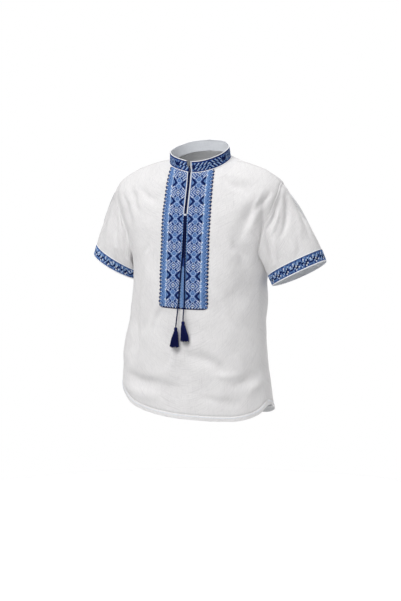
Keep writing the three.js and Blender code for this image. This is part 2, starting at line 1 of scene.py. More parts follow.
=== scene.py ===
import math
import bpy
import numpy as np
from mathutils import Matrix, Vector


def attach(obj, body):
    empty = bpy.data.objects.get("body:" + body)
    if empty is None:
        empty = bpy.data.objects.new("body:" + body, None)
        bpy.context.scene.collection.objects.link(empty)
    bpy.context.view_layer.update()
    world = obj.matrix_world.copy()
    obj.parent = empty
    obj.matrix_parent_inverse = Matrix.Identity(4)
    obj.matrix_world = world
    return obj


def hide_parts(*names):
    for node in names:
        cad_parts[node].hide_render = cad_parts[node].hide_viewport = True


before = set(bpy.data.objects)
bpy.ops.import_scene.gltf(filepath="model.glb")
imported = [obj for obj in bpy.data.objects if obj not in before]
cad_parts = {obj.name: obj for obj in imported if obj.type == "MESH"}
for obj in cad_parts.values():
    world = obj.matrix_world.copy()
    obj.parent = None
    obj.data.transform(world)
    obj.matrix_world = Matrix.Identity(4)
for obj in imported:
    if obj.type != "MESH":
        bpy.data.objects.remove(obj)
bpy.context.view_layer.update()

bpy.ops.object.select_all(action="DESELECT")
mm = 0.001
chance = np.random.default_rng(41)
bothSides = {"left": 1, "right": -1}    # the wearer's own, with the left towards +x

# The camera looks level at the shirt, from a little to the wearer's left.
camera = {"yaw": 25.0, "distance": 2.7, "height": -0.045, "lens": 61.46, "sensor": 36, "shiftY": -0.2058,
          "reach": 60}


def placeCamera():
    yaw = math.radians(camera["yaw"])
    place = (camera["distance"] * math.sin(yaw), -camera["distance"] * math.cos(yaw), camera["height"])
    bpy.ops.object.camera_add(location=place, rotation=(math.radians(90), 0, yaw))
    eye = bpy.context.object
    eye.name = "camera"
    eye.data.lens = camera["lens"]
    eye.data.sensor_width = camera["sensor"]
    eye.data.shift_y = camera["shiftY"]
    eye.data.clip_end = camera["reach"]
    bpy.context.scene.camera = eye


placeCamera()
print("camera placed")


# The worn form, in millimetres. Rings round the body run from the neck seam (at 0) to the hem (at 1).
rings = {
    "names": ("at", "wide", "front", "back", "zSide", "zFront", "zBack", "square", "shift"),
    "rows": [
        (0, 82, 72, 66, 0, -34, 24, 2.05, 0),
        (0.05, 112, 78, 84, -3, -62, 0, 2.1, 0),
        (0.1, 148, 83, 98, -12, -90, -32, 2.15, 0),
        (0.16, 190, 88, 108, -29, -122, -62, 2.2, -2),
        (0.22, 232, 93, 114, -59, -155, -104, 2.3, -5),
        (0.29, 227, 98, 117, -112, -190, -150, 2.35, -4),
        (0.36, 212, 102, 118, -166, -225, -200, 2.35, -2),
        (0.42, 199, 105, 117, -215, -256, -238, 2.35, 0),
        (0.47, 189, 107, 115, -256, -283, -270, 2.35, 0),
        (0.56, 183, 110, 112, -318, -336, -328, 2.3, -3),
        (0.66, 185, 112, 110, -390, -398, -394, 2.3, -8),
        (0.76, 190, 116, 112, -462, -462, -462, 2.3, -12),
        (0.84, 199, 121, 116, -520, -520, -520, 2.3, -15),
        (0.92, 203, 125, 120, -580, -580, -580, 2.3, -13),
        (1, 208, 130, 124, -640, -640, -640, 2.3, -8),
    ],
}
# Heights of the neck seam and the hem, by degrees from the middle of the front.
neckLine = {
    "names": ("at", "z"),
    "rows": [(-180, 26), (-145, 21), (-118, 11), (-98, 3), (-85, -2), (-68, -8), (-47, -17), (-23, -26),
             (0, -33.5), (15, -34.5), (31, -31), (51, -23), (72, -12), (90, -2), (112, 7), (142, 20),
             (180, 26)],
}
hemLine = {
    "names": ("at", "z"),
    "rows": [(-180, -676), (-130, -655), (-90, -594), (-62, -609), (-38, -637), (0, -654), (40, -654),
             (66, -642), (84, -622), (100, -638), (135, -668), (180, -676)],
}
# Degrees from the middle of the front to the edge of each panel, ring by ring.
sideEdge = {
    "names": ("at", "front", "back"),
    "rows": [(0, 90, 90), (0.22, 90, 90), (0.228, 84, 96), (0.242, 79.5, 100.5), (0.265, 75.5, 104.5),
             (0.29, 72.5, 107), (0.325, 69, 109.5), (0.36, 67, 111), (0.42, 67.5, 110), (0.455, 74, 101),
             (0.47, 85, 85)],
}
# The slit's middle and half its width, ring by ring.
slitLine = {
    "names": ("at", "middle", "half"),
    "rows": [(0, 3.2, 3), (0.05, 3.2, 3), (0.195, 1.2, 2.9), (0.23, 1.2, 1.2), (0.45, 1.4, 1), (0.63, 1.2, 1),
             (1, 1, 1)],
}
# rings at the shoulder's end, the underarm and the feet of the slit and the plastron
shoulder = 0.22
underarm = 0.47
slitFoot = 0.195
plastronFoot = 0.628


def smooth(t):
    t = np.clip(t, 0, 1)
    return t * t * (3 - 2 * t)


# One column of a table at a place: a smooth curve through its rows, level between equal values.
def along(table, place, name):
    column = table["names"].index(name)
    rows = np.array(table["rows"], float)
    at, value = rows[:, 0], rows[:, column]
    place = np.asarray(place, float)
    last = len(at) - 1
    i = np.clip(np.searchsorted(at, place, side="left") - 1, 0, last - 1)
    before, after = np.maximum(i - 1, 0), np.minimum(i + 2, last)
    span = at[i + 1] - at[i]
    t = np.clip((place - at[i]) / span, 0, 1)
    slopeA = span * (value[i + 1] - value[before]) / (at[i + 1] - at[before])
    slopeB = span * (value[after] - value[i]) / (at[after] - at[i])
    bend = slopeA * t * (1 - t) ** 2 + slopeB * t * t * (t - 1)
    return value[i] + (value[i + 1] - value[i]) * smooth(t) + np.where(value[i] == value[i + 1], 0, bend)


# The side edge moves 5 degrees to the front below the underarm.
def sideAngle(v, side):
    v = np.asarray(v, float)
    low = along(sideEdge, underarm, side) - 5 * smooth((v - underarm) / 0.1)
    return np.where(v < underarm, along(sideEdge, np.minimum(v, underarm), side), low)


# The neck line's own heights fade out by ring 0.14, and the hem line's come in from ring 0.5.
def formPoint(v, angle):
    v, angle = np.broadcast_arrays(np.asarray(v, float), np.asarray(angle, float))
    s, c = np.sin(np.radians(angle)), np.cos(np.radians(angle))
    power = 2 / along(rings, v, "square")
    depth = np.where(c > 0, along(rings, v, "front"), along(rings, v, "back"))

    def height(place):
        side = along(rings, place, "zSide")
        end = np.where(c > 0, along(rings, place, "zFront"), along(rings, place, "zBack"))
        return side + (end - side) * np.abs(c) ** 1.5

    atNeck = (along(neckLine, angle, "z") - height(np.zeros_like(v))) * (1 - smooth(v / 0.14))
    atHem = (along(hemLine, angle, "z") - height(np.ones_like(v))) * smooth((v - 0.5) / 0.5)
    x = along(rings, v, "shift") * np.abs(s) + along(rings, v, "wide") * np.sign(s) * np.abs(s) ** power
    y = -depth * np.sign(c) * np.abs(c) ** power
    return np.stack([x, y, height(v) + atNeck + atHem], -1)


def unit(vectors):
    return vectors / np.maximum(np.linalg.norm(vectors, axis=-1, keepdims=True), 1e-9)


# Distance gone along a line, or down each column of a grid of points.
def lineLengths(line):
    steps = np.linalg.norm(np.diff(line, axis=0), axis=-1)
    return np.concatenate([np.zeros_like(steps[:1]), np.cumsum(steps, axis=0)])


def pointsAt(want, lengths, line):
    return np.stack([np.interp(want, lengths, line[:, k]) for k in range(3)], -1)


def evenLine(line, count):
    lengths = lineLengths(line)
    return pointsAt(np.linspace(0, lengths[-1], count + 1), lengths, line)


# A curve from a to b that leaves along m and arrives along n.
def hermite(a, m, b, n, t):
    return (a * (2 * t ** 3 - 3 * t ** 2 + 1) + m * (t ** 3 - 2 * t ** 2 + t)
            + b * (3 * t ** 2 - 2 * t ** 3) + n * (t ** 3 - t ** 2))


def formNormal(v, angle):
    v, angle = np.broadcast_arrays(np.asarray(v, float), np.asarray(angle, float))
    down = formPoint(np.minimum(v + 0.006, 1), angle) - formPoint(np.maximum(v - 0.006, 0), angle)
    turned = formPoint(v, angle + 1.5 - 3 * (angle > 178)) - formPoint(v, angle - 1.5 + 3 * (angle < -178))
    turned = turned * np.where((angle > 178) | (angle < -178), -1, 1)[..., None]
    return unit(np.cross(down, turned))


# Folds: a soft trough (deep below 0) or ridge between two points given by x and z.
# skew makes one flank steeper, sway bends the line.
foldStrength = 1.6
foldNames = ("x0", "z0", "x1", "z1", "wide", "deep", "skew", "sway")
frontFolds = [
    (205, -83, 137, -203, 17, -8, 0.3, 3), (193, -79, 169, -178, 7, 3.5, 0, 2),
    (212, -84, 190, -165, 8, -5, 0, 2), (132, -203, 161, -274, 15, -6, -0.3, 3),
    (145, -275, 162, -367, 22, -3, 0.2, 4),
    (84, -334, 186, -531, 20, 3.6, 0.1, 4), (118, -354, 182, -474, 17, -2.8, 0.2, 3),
    (155, -215, 188, -400, 28, -3.4, 0.2, 3),
    (142, -566, 178, -537, 15, -5.5, 0.2, 1), (168, -584, 188, -556, 8, 3, 0, 0),
    (-165, -566, -20, -578, 19, -6.2, 0.3, 2),
    (-52, -340, -118, -470, 14, 2.4, 0.1, 4), (-85, -375, -148, -510, 14, -2.4, 0.1, 4),
    (-191, -594, -70, -610, 13, 3, 0, 2),
    (24, -469, -72, -594, 19, 3.2, -0.2, 5), (51, -485, 126, -548, 18, -2.2, 0.2, 4),
    (-104, -209, -121, -267, 9, -3.5, 0.2, 2), (-174, -80, -147, -132, 9, -4.5, 0.2, 2),
    (-199, -94, -167, -169, 9, -4, 0, 2), (-147, -80, -84, -113, 9, -2.5, 0, 2),
    (-107, -214, -123, -366, 15, 3.5, -0.2, 5), (203, -141, 190, -290, 9, -9, 0, 2),
    (88, -33, 159, -58, 8, 2.5, 0, 1), (93, -53, 159, -83, 9, -3, 0, 2), (-64, -391, -94, -445, 10, -2, 0, 2),
    (-6, -484, 120, -522, 14, -3.2, 0.2, 3), (92, -543, 147, -542, 8, 2.5, 0, 1),
    (-140, -330, -150, -520, 13, -3.5, 0.3, 5), (60, -600, 150, -608, 10, -2.5, 0, 2),
]
backFolds = [
    (-120, -180, -95, -420, 20, -6, 0.3, 7), (110, -170, 85, -440, 20, -6, -0.3, 7),
    (0, -330, 20, -600, 24, 4.5, 0.2, 8), (-150, -450, -60, -560, 18, -5, 0.3, 5),
    (150, -100, 120, -260, 12, -5, 0.2, 3), (-160, -100, -125, -250, 12, -5, -0.2, 3),
    (60, -150, -50, -190, 14, 3, 0, 4), (-30, -250, 60, -300, 16, -3.5, 0.2, 4),
    (70, -480, 150, -560, 14, -5, 0.3, 4), (-100, -600, 60, -620, 12, -3.5, 0, 4),
    (165, -300, 140, -500, 14, 4, 0, 5), (-170, -300, -150, -480, 14, 4, 0, 5),
    (-190, -90, -168, -190, 10, -4, 0, 2), (190, -90, 168, -190, 10, -4, 0, 2),
]


def foldDepth(x, z, table):
    total = np.zeros_like(x)
    for fold in table:
        f = dict(zip(foldNames, fold))
        dx, dz = f["x1"] - f["x0"], f["z1"] - f["z0"]
        length = math.hypot(dx, dz)
        t = ((x - f["x0"]) * dx + (z - f["z0"]) * dz) / length ** 2
        near = np.clip(t, 0, 1)
        across = ((x - f["x0"]) * dz - (z - f["z0"]) * dx) / length
        across = across - f["sway"] * np.sin(near * 2.6 * math.pi + f["x0"])
        beyond = (t - near) * length
        width = f["wide"] * (0.75 + 0.5 * near) * np.where(across > 0, 1 + f["skew"], 1 - f["skew"])
        taper = 0.35 + 0.65 * np.sin(math.pi * near)
        total += f["deep"] * foldStrength * taper * np.exp(-(across / width) ** 2 - (beyond / f["wide"]) ** 2)
    return total


# The cloth's small unevenness: a sum of waves of about one size.
def ripple(x, z, seed, size, deep):
    waves = np.random.default_rng(seed)
    total = np.zeros_like(x)
    for _ in range(14):
        turn = waves.uniform(0, math.tau)
        pitch = size * waves.uniform(0.6, 1.9)
        way = x * math.cos(turn) + z * math.sin(turn)
        total += np.sin(way * math.tau / pitch + waves.uniform(0, math.tau))
    return deep * total / 3.7


bodyRipples = [(5, 95, 0.8), (6, 38, 0.22)]    # seed, size and depth


# How far the cloth lies off the form. Folds fade out at the sides, where y is small.
def bodyLift(point):
    x, y, z = point[..., 0], point[..., 1], point[..., 2]
    away = smooth((np.abs(y) - 12) / 35)
    lift = np.where(y < 0, foldDepth(x, z, frontFolds), foldDepth(x, z, backFolds)) * away
    for waves in bodyRipples:
        lift = lift + ripple(x + 0.6 * y, z, *waves)
    return lift


def bodyPoint(v, angle, out=0):
    point = formPoint(v, angle)
    return point + formNormal(v, angle) * (bodyLift(point) + out)[..., None]


# Angles at distances round one ring from the middle of the front.
def ringAngles(v, distances):
    steps = np.arange(0, 130.5, 1.5)
    answer = np.zeros_like(distances)
    for sign in (-1, 1):
        here = np.sign(distances) == sign
        lengths = lineLengths(formPoint(v, sign * steps))
        answer[here] = sign * np.interp(np.abs(distances[here]), lengths, steps)
    return answer


def ringReach(v, angle, sign):
    line = formPoint(v, sign * np.linspace(0, angle, 80))
    return np.linalg.norm(np.diff(line, axis=0), axis=1).sum()


def spread(stops, counts):
    parts = [np.linspace(a, b, n, endpoint=False) for a, b, n in zip(stops, stops[1:], counts)]
    return np.append(np.concatenate(parts), stops[-1])


def editing(action):
    bpy.ops.object.mode_set(mode="EDIT")
    action()
    bpy.ops.object.mode_set(mode="OBJECT")


def faceOut():
    bpy.ops.mesh.select_all(action="SELECT")
    bpy.ops.mesh.normals_make_consistent(inside=False)


def capEnds():
    bpy.ops.mesh.select_all(action="SELECT")
    bpy.ops.mesh.fill_holes(sides=0)
    faceOut()


def weld():
    bpy.ops.mesh.select_all(action="SELECT")
    bpy.ops.mesh.remove_doubles(threshold=0.000005)


def takeUp(*things):
    bpy.ops.object.select_all(action="DESELECT")
    for thing in things:
        thing.select_set(True)
    bpy.context.view_layer.objects.active = things[0]


def pickFaces(mesh, chosen):
    bpy.context.tool_settings.mesh_select_mode = (False, False, True)
    mesh.vertices.foreach_set("select", np.zeros(len(mesh.vertices), bool))
    mesh.edges.foreach_set("select", np.zeros(len(mesh.edges), bool))
    mesh.polygons.foreach_set("select", chosen)


# Places on the flat cloth, from the lengths of its rows and columns.
def lengthMap(points):
    across, down = lineLengths(points.swapaxes(0, 1)).T, lineLengths(points)
    across = across - across[:, across.shape[1] // 2][:, None]
    return np.stack([across, -down], -1) * mm


# A grid laid over rows and columns of points, with cells left out where keep says so.
def layOut(name, points, keep=None, closed=False):
    rows, columns = points.shape[:2]
    bpy.ops.object.select_all(action="DESELECT")
    bpy.ops.mesh.primitive_grid_add(x_subdivisions=columns - 1, y_subdivisions=rows - 1, size=1)
    sheet = bpy.context.object
    sheet.name = sheet.data.name = name
    mesh = sheet.data
    corner = np.empty(len(mesh.vertices) * 3)
    mesh.vertices.foreach_get("co", corner)
    corner = corner.reshape(-1, 3)
    j = np.rint((corner[:, 0] + 0.5) * (columns - 1)).astype(int)
    i = np.rint((0.5 - corner[:, 1]) * (rows - 1)).astype(int)
    mesh.vertices.foreach_set("co", (points[i, j] * mm).ravel())
    loops = np.empty(len(mesh.loops), int)
    mesh.loops.foreach_get("vertex_index", loops)
    mesh.uv_layers[0].data.foreach_set("uv", lengthMap(points)[i, j][loops].ravel())
    mesh.update()
    if keep is not None:
        starts = np.empty(len(mesh.polygons), int)
        mesh.polygons.foreach_get("loop_start", starts)
        cells = loops[starts[:, None] + np.arange(4)]
        pickFaces(mesh, ~keep[i[cells].min(1), j[cells].min(1)])
        editing(lambda: bpy.ops.mesh.delete(type="FACE"))
    if closed:
        editing(weld)
    bpy.ops.object.shade_smooth()
    return sheet


def thicken(sheet, thickness, outer, inner):
    takeUp(sheet)
    sheet.data.materials.append(outer)
    sheet.data.materials.append(inner)
    wall = sheet.modifiers.new("wall", "SOLIDIFY")
    wall.thickness = thickness * mm
    wall.offset = -1
    wall.use_even_offset = False
    wall.material_offset = 1
    wall.material_offset_rim = 0
    bpy.ops.object.modifier_apply(modifier=wall.name)
    bpy.ops.object.shade_smooth_by_angle(angle=math.radians(50))


def gradient(line, closed):
    if closed:
        body = line[:-1]
        step = np.roll(body, -1, 0) - np.roll(body, 1, 0)
        return np.concatenate([step, step[:1]])
    return np.gradient(line, axis=0)


trims = []    # each seam and piping with its slot


# A rounded strip swept along a line: wide across the cloth, high along its normal.
def strip(name, line, normals, wide, high, look, sides=8, closed=False):
    forward = unit(gradient(line, closed))
    normals = unit(normals - forward * (normals * forward).sum(1, keepdims=True))
    across = np.cross(forward, normals)
    turns = np.linspace(0, math.tau, sides + 1)
    points = (line[:, None] + across[:, None] * 0.5 * wide * np.cos(turns)[None, :, None]
              + normals[:, None] * 0.5 * high * np.sin(turns)[None, :, None])
    piece = layOut(name, points, closed=True)
    editing(capEnds)
    bpy.ops.object.shade_smooth_by_angle(angle=math.radians(60))
    piece.data.materials.append(look)
    trims.append((piece, "white_cloth" if look == clothLook else "white_piping"))
    return piece


# Cloth, thread and yarn. Pitch is the weave's, slubs are the thick threads in linen.
looks = {
    "cloth": {"colour": (0.80, 0.79, 0.79), "other": (0.62, 0.61, 0.615), "rough": 0.88, "slubs": 1.2,
              "bump": 0.5},
    # The cloth's inner face is the same white linen as the outside, painted darker: a painted shade.
    "inside": {"colour": (0.66, 0.665, 0.67), "other": (0.58, 0.585, 0.6), "rough": 0.92, "slubs": 0.8},
    "piping": {"colour": (0.72, 0.745, 0.8), "other": (0.6, 0.63, 0.72), "rough": 0.8, "pitch": 900},
    "edging": {"colour": (0.86, 0.875, 0.9), "other": (0.78, 0.8, 0.85), "rough": 0.8, "pitch": 900},
    "ground": {"colour": (0.014, 0.036, 0.15), "other": (0.009, 0.024, 0.11), "rough": 0.85, "dark": True},
    "lining": {"colour": (0.76, 0.78, 0.81), "other": (0.64, 0.67, 0.72), "rough": 0.9},
    "cord": {"colour": (0.007, 0.012, 0.06), "other": (0.004, 0.006, 0.03), "rough": 0.7, "dark": True,
             "pitch": 1500, "bump": 0.5},
    "yarn": {"colour": (0.009, 0.013, 0.085), "other": (0.004, 0.006, 0.04), "rough": 0.75, "dark": True,
             "pitch": 1500, "bump": 0.5},
}
plainLook = {"slubs": 0, "pitch": 1100, "bump": 0.3, "dark": False, "depth": 0.0005, "patch": 14,
             "slubPitch": 230}


def setSockets(node, values):
    for name, value in values.items():
        node.inputs[name].default_value = value


def makeLook(name):
    values = {**plainLook, **looks[name]}
    material = bpy.data.materials.new(name)
    material.use_nodes = True
    nodes, links = material.node_tree.nodes, material.node_tree.links
    base = nodes["Principled BSDF"]
    setSockets(base, {"Roughness": values["rough"], "Sheen Weight": 0.0 if values["dark"] else 0.15,
                      "Sheen Roughness": 0.5, "Specular IOR Level": 0.06 if values["dark"] else 0.25})
    uv = nodes.new("ShaderNodeUVMap")
    uv.uv_map = "UVMap"

    def yarn(across, down, scale, detail):
        mapping = nodes.new("ShaderNodeMapping")
        setSockets(mapping, {"Scale": (across, down, 1)})
        noise = nodes.new("ShaderNodeTexNoise")
        setSockets(noise, {"Scale": scale, "Detail": detail})
        links.new(uv.outputs["UV"], mapping.inputs["Vector"])
        links.new(mapping.outputs["Vector"], noise.inputs["Vector"])
        return noise.outputs["Fac"]

    def sharpen(value, low, high):
        limits = nodes.new("ShaderNodeMapRange")
        setSockets(limits, {"From Min": low, "From Max": high})
        links.new(value, limits.inputs["Value"])
        return limits.outputs["Result"]

    def add(a, b, share):
        total = nodes.new("ShaderNodeMath")
        total.operation = "MULTIPLY_ADD"
        links.new(a, total.inputs[0])
        total.inputs[1].default_value = share
        links.new(b, total.inputs[2])
        return total.outputs[0]

    weft = yarn(0.06, 1.4, values["pitch"], 2)
    warp = yarn(1.4, 0.06, values["pitch"], 2)
    height = add(warp, weft, 0.8)
    shade = add(yarn(1, 1, values["patch"], 3), sharpen(height, 0.6, 1.2), 0.6)
    if values["slubs"]:
        crossSlub = sharpen(yarn(0.06, 1.5, values["slubPitch"], 2), 0.55, 0.78)
        longSlub = sharpen(yarn(1.5, 0.06, values["slubPitch"], 2), 0.58, 0.8)
        slub = add(longSlub, crossSlub, 0.7)
        height = add(slub, height, values["slubs"])
        shade = add(slub, shade, 0.5)
    mixer = nodes.new("ShaderNodeMix")
    mixer.data_type = "RGBA"
    setSockets(mixer, {6: (*values["colour"], 1), 7: (*values["other"], 1)})    # its two colours
    links.new(sharpen(shade, 0.45, 1.5), mixer.inputs[0])
    links.new(mixer.outputs[2], base.inputs["Base Color"])
    relief = nodes.new("ShaderNodeBump")
    setSockets(relief, {"Strength": values["bump"], "Distance": values["depth"]})
    links.new(height, relief.inputs["Height"])
    links.new(relief.outputs["Normal"], base.inputs["Normal"])
    return material


clothLook, insideShadeLook, pipingLook, edgingLook, groundLook, liningLook, cordLook, yarnLook = (
    makeLook(name) for name in looks)
print("finishes mixed")


# The front and back. Rows count the grid between the stops. The hem is turned up below a crease.
cloth = {"wall": 1.35, "seamGap": 0.15, "hem": 11, "hemProud": 0.8, "hemEdge": 1.2, "crease": 1.5,
         "creaseAt": 13, "creaseWide": 2, "rows": [34, 6, 18, 34, 70, 12],
         "stops": [0, slitFoot, shoulder, 0.29, underarm, 0.96, 1], "frontCells": 72, "backCells": 112}


def bodyGrid(angleRows, rows):
    plain = formPoint(rows[:, None], angleRows)
    below = lineLengths(plain[::-1])[::-1]    # from each point down to the hem's edge
    turnedUp = cloth["hemProud"] * smooth((cloth["hem"] - below) / cloth["hemEdge"])
    crease = cloth["crease"] * np.exp(-((below - cloth["creaseAt"]) / cloth["creaseWide"]) ** 2)
    lift = bodyLift(plain) + turnedUp - crease
    return plain + formNormal(rows[:, None], angleRows) * lift[..., None], below


def makeFront():
    rows = spread(cloth["stops"], cloth["rows"])
    share = np.linspace(0, 1, cloth["frontCells"] + 1)
    angles = []
    for v in rows:
        middle, half = along(slitLine, v, "middle"), along(slitLine, v, "half")
        sides = []
        for sign in (-1, 1):
            edge = sign * (ringReach(v, float(sideAngle(v, "front")), sign) - cloth["seamGap"])
            sides.append(middle + sign * half + (edge - middle - sign * half) * share)
        angles.append(ringAngles(v, np.concatenate([sides[0][::-1], sides[1]])))
    points, below = bodyGrid(np.array(angles), rows)
    keep = np.ones((points.shape[0] - 1, points.shape[1] - 1), bool)
    keep[rows[:-1] < slitFoot - 1e-6, cloth["frontCells"]] = False
    return layOut("shirtFront", points, keep=keep), points, below


def makeBack():
    rows = spread(cloth["stops"], cloth["rows"])
    share = np.linspace(0, 1, cloth["backCells"] + 1)
    first = sideAngle(rows, "back") + 0.1
    turns = first[:, None] + (360 - 2 * first[:, None]) * share
    angles = np.where(turns > 180, turns - 360, turns)
    points, below = bodyGrid(angles, rows)
    return layOut("shirtBack", points), points, below


front, frontPoints, frontBelow = makeFront()
thicken(front, cloth["wall"], clothLook, insideShadeLook)
back, backPoints, backBelow = makeBack()
thicken(back, cloth["wall"], clothLook, insideShadeLook)
print("front and back cut and sewn")


# Sleeves, in millimetres: a worn tube from the armhole to the cuff.
sleeve = {"half": 60, "rows": 72, "cuffMiddle": (264, 28, -290), "halfWide": 77, "halfDeep": 57, "lean": 26.6,
          "backDrop": 7, "fullness": 12, "roundness": 9, "cuffHeight": 30, "cuffCells": 15, "cuffGap": 0.2,
          "wall": 1.35, "halfRound": 210, "long": 180, "ripple": (80, 0.5)}
lean = math.radians(sleeve["lean"])
outward = np.array([math.cos(lean), 0, math.sin(lean)])
armWay = np.array([math.sin(lean), 0, -math.cos(lean)])

# Folds on the sleeve by turn (0 underarm, 0.5 front, 1 shoulder, 1.5 back) and share of the way to the cuff.
sleeveFoldNames = ("turn0", "share0", "turn1", "share1", "wide", "deep")
leftFolds = [
    (0.88, 0.02, 0.5, 0.14, 8, -4.5), (0.86, 0.14, 0.6, 0.45, 9, -5), (0.72, 0.08, 0.5, 0.3, 6, 3),
    (0.52, 0.3, 0.44, 0.75, 9, 3.5), (0.4, 0.2, 0.36, 0.8, 9, -4), (0.8, 0.5, 0.62, 0.9, 12, 2.5),
    (0.74, 0.55, 0.66, 0.95, 7, -2.5), (0.92, 0.3, 0.86, 0.8, 9, -2.5),
    (1.2, 0.03, 1.35, 0.7, 13, -5), (1.4, 0.1, 1.5, 0.85, 12, 3.5), (1.62, 0.04, 1.6, 0.6, 12, -5),
    (1.1, 0.3, 1.15, 0.9, 10, -3),
]
rightFolds = [
    (0.84, 0.02, 0.5, 0.16, 9, -4), (0.66, 0.13, 0.46, 0.6, 10, -5), (0.74, 0.3, 0.6, 0.85, 11, 3),
    (0.38, 0.02, 0.25, 0.6, 9, -4.5), (0.5, 0.45, 0.42, 0.95, 8, 2.5), (0.9, 0.25, 0.82, 0.8, 9, -2.5),
    (1.2, 0.03, 1.35, 0.7, 13, -5), (1.5, 0.1, 1.55, 0.85, 12, 3.5), (1.7, 0.05, 1.65, 0.6, 11, -5),
    (1.08, 0.3, 1.12, 0.9, 10, -3),
]


def armholeHalf(side, sign, cells):
    v = np.linspace(shoulder, underarm, 500)
    lengths = lineLengths(formPoint(v, sign * sideAngle(v, side)))
    return np.interp(np.linspace(0, lengths[-1], cells + 1), lengths, v)


# Round the armhole: up its front from the underarm, and down its back.
def armholeLoop(sign, cells):
    up = armholeHalf("front", sign, cells)[::-1]
    down = armholeHalf("back", sign, cells)
    over = np.array([sign, 1, 1])
    frontAngles, backAngles = sign * sideAngle(up, "front"), sign * sideAngle(down, "back")
    points = np.concatenate([bodyPoint(up, frontAngles)[:-1], bodyPoint(down, backAngles)[:-1]]) * over
    normals = np.concatenate([formNormal(up, frontAngles)[:-1], formNormal(down, backAngles)[:-1]]) * over
    turn = np.arange(2 * cells) / cells * math.pi
    away = unit(np.cross(np.roll(points, -1, 0) - np.roll(points, 1, 0), normals))
    facingBody = ((points.mean(0) - points) * away).sum(1) < 0
    away[facingBody] *= -1
    for _ in range(3):
        away = unit(np.roll(away, 1, 0) + 2 * away + np.roll(away, -1, 0))
    return points, normals, away, turn


def cuffLine(turn):
    behind = np.maximum(0, -np.sin(turn))
    return (np.array(sleeve["cuffMiddle"]) - sleeve["halfWide"] * np.cos(turn)[:, None] * outward
            - sleeve["halfDeep"] * np.sin(turn)[:, None] * np.array([0, 1, 0])
            + sleeve["backDrop"] * behind[:, None] * armWay)


# Each column leaves the armhole along its own way out and arrives at the cuff along the arm.
def sleeveColumns(sign):
    points, normals, away, turn = armholeLoop(sign, sleeve["half"])
    arm = unit(np.array([math.sin(lean), 0.04, -math.cos(lean)]))
    high = 0.5 - 0.5 * np.cos(turn)
    start = points + 0.35 * away + normals * (0.9 * (1 - smooth(high * 1.6)))[:, None]
    end = cuffLine(turn)
    reach = np.linalg.norm(end - start, axis=1)[:, None]
    leave = unit(away * (0.75 * high + 0.1)[:, None] + arm * (1 - 0.5 * high)[:, None]) * reach
    arrive = 0.9 * reach * arm
    t = np.linspace(0, 1, 121)[:, None, None]
    line = hermite(start, leave, end, arrive, t)
    line = line + outward * sleeve["fullness"] * (high ** 2)[None, :, None] * np.sin(math.pi * t ** 0.75)
    line[..., 1] -= sleeve["roundness"] * np.sin(turn)[None, :] * np.sin(math.pi * t[..., 0] ** 0.85)
    return line, turn


def pickRows(line, distanceRows):
    lengths = lineLengths(line)
    rows = distanceRows(lengths[-1])
    return np.stack([pointsAt(rows[:, j], lengths[:, j], line[:, j]) for j in range(line.shape[1])], 1)


def tubeNormals(grid):
    down = np.gradient(grid, axis=0)
    around = np.roll(grid, -1, 1) - np.roll(grid, 1, 1)
    return unit(np.cross(down, around))


def sleeveLift(turn, share, folds, sign):
    turn, share = np.broadcast_arrays(turn, share)
    total = np.zeros(turn.shape)
    for fold in folds:
        f = dict(zip(sleeveFoldNames, fold))
        a, b = (f["turn1"] - f["turn0"]) * sleeve["halfRound"], (f["share1"] - f["share0"]) * sleeve["long"]
        length = math.hypot(a, b)
        x = (turn / math.pi - f["turn0"]) * sleeve["halfRound"]
        y = (share - f["share0"]) * sleeve["long"]
        t = (x * a + y * b) / length ** 2
        near = np.clip(t, 0, 1)
        far = np.hypot(x - a * near, y - b * near)
        taper = 0.4 + 0.6 * np.sin(math.pi * near)
        total += f["deep"] * foldStrength * taper * np.exp(-(far / f["wide"]) ** 2)
    held = smooth(share / 0.1) * smooth((1 - share) / 0.12)    # by the seams at both ends
    total = total * held + ripple(turn * 67, share * sleeve["long"], 8 + sign, *sleeve["ripple"]) * held
    crevice = -1.6 * np.exp(-(share / 0.035) ** 2) + 0.8 * np.exp(-((share - 0.08) / 0.04) ** 2)
    return total + crevice * (1 - np.exp(-(share / 0.02) ** 2))


def closeUp(grid):
    return np.concatenate([grid, grid[:, :1]], 1)


def makeSleeve(side, sign):
    line, turn = sleeveColumns(sign)
    share = np.linspace(0, 1, sleeve["rows"] + 1)[:, None] ** 1.15
    grid = pickRows(line, lambda total: share * (total - sleeve["cuffHeight"] - sleeve["cuffGap"]))
    folds = leftFolds if sign > 0 else rightFolds
    grid = grid + tubeNormals(grid) * sleeveLift(turn[None, :], share, folds, sign)[..., None]
    up = np.linspace(1, 0, sleeve["cuffCells"] + 1)[:, None]
    band = pickRows(line, lambda total: total - sleeve["cuffHeight"] * up)
    over = np.array([sign, 1, 1])
    grid, band = ((closeUp(part) * over)[:, ::sign] for part in (grid, band))
    piece = layOut("sleeveCloth_" + side, grid, closed=True)
    thicken(piece, sleeve["wall"], clothLook, insideShadeLook)
    return piece, band, (closeUp(line[:1]) * over)[0]


# each sleeve's cloth, the grid of its cuff band and the line of its armhole
sleeves = {side: makeSleeve(side, sign) for side, sign in bothSides.items()}
print("sleeves set in")


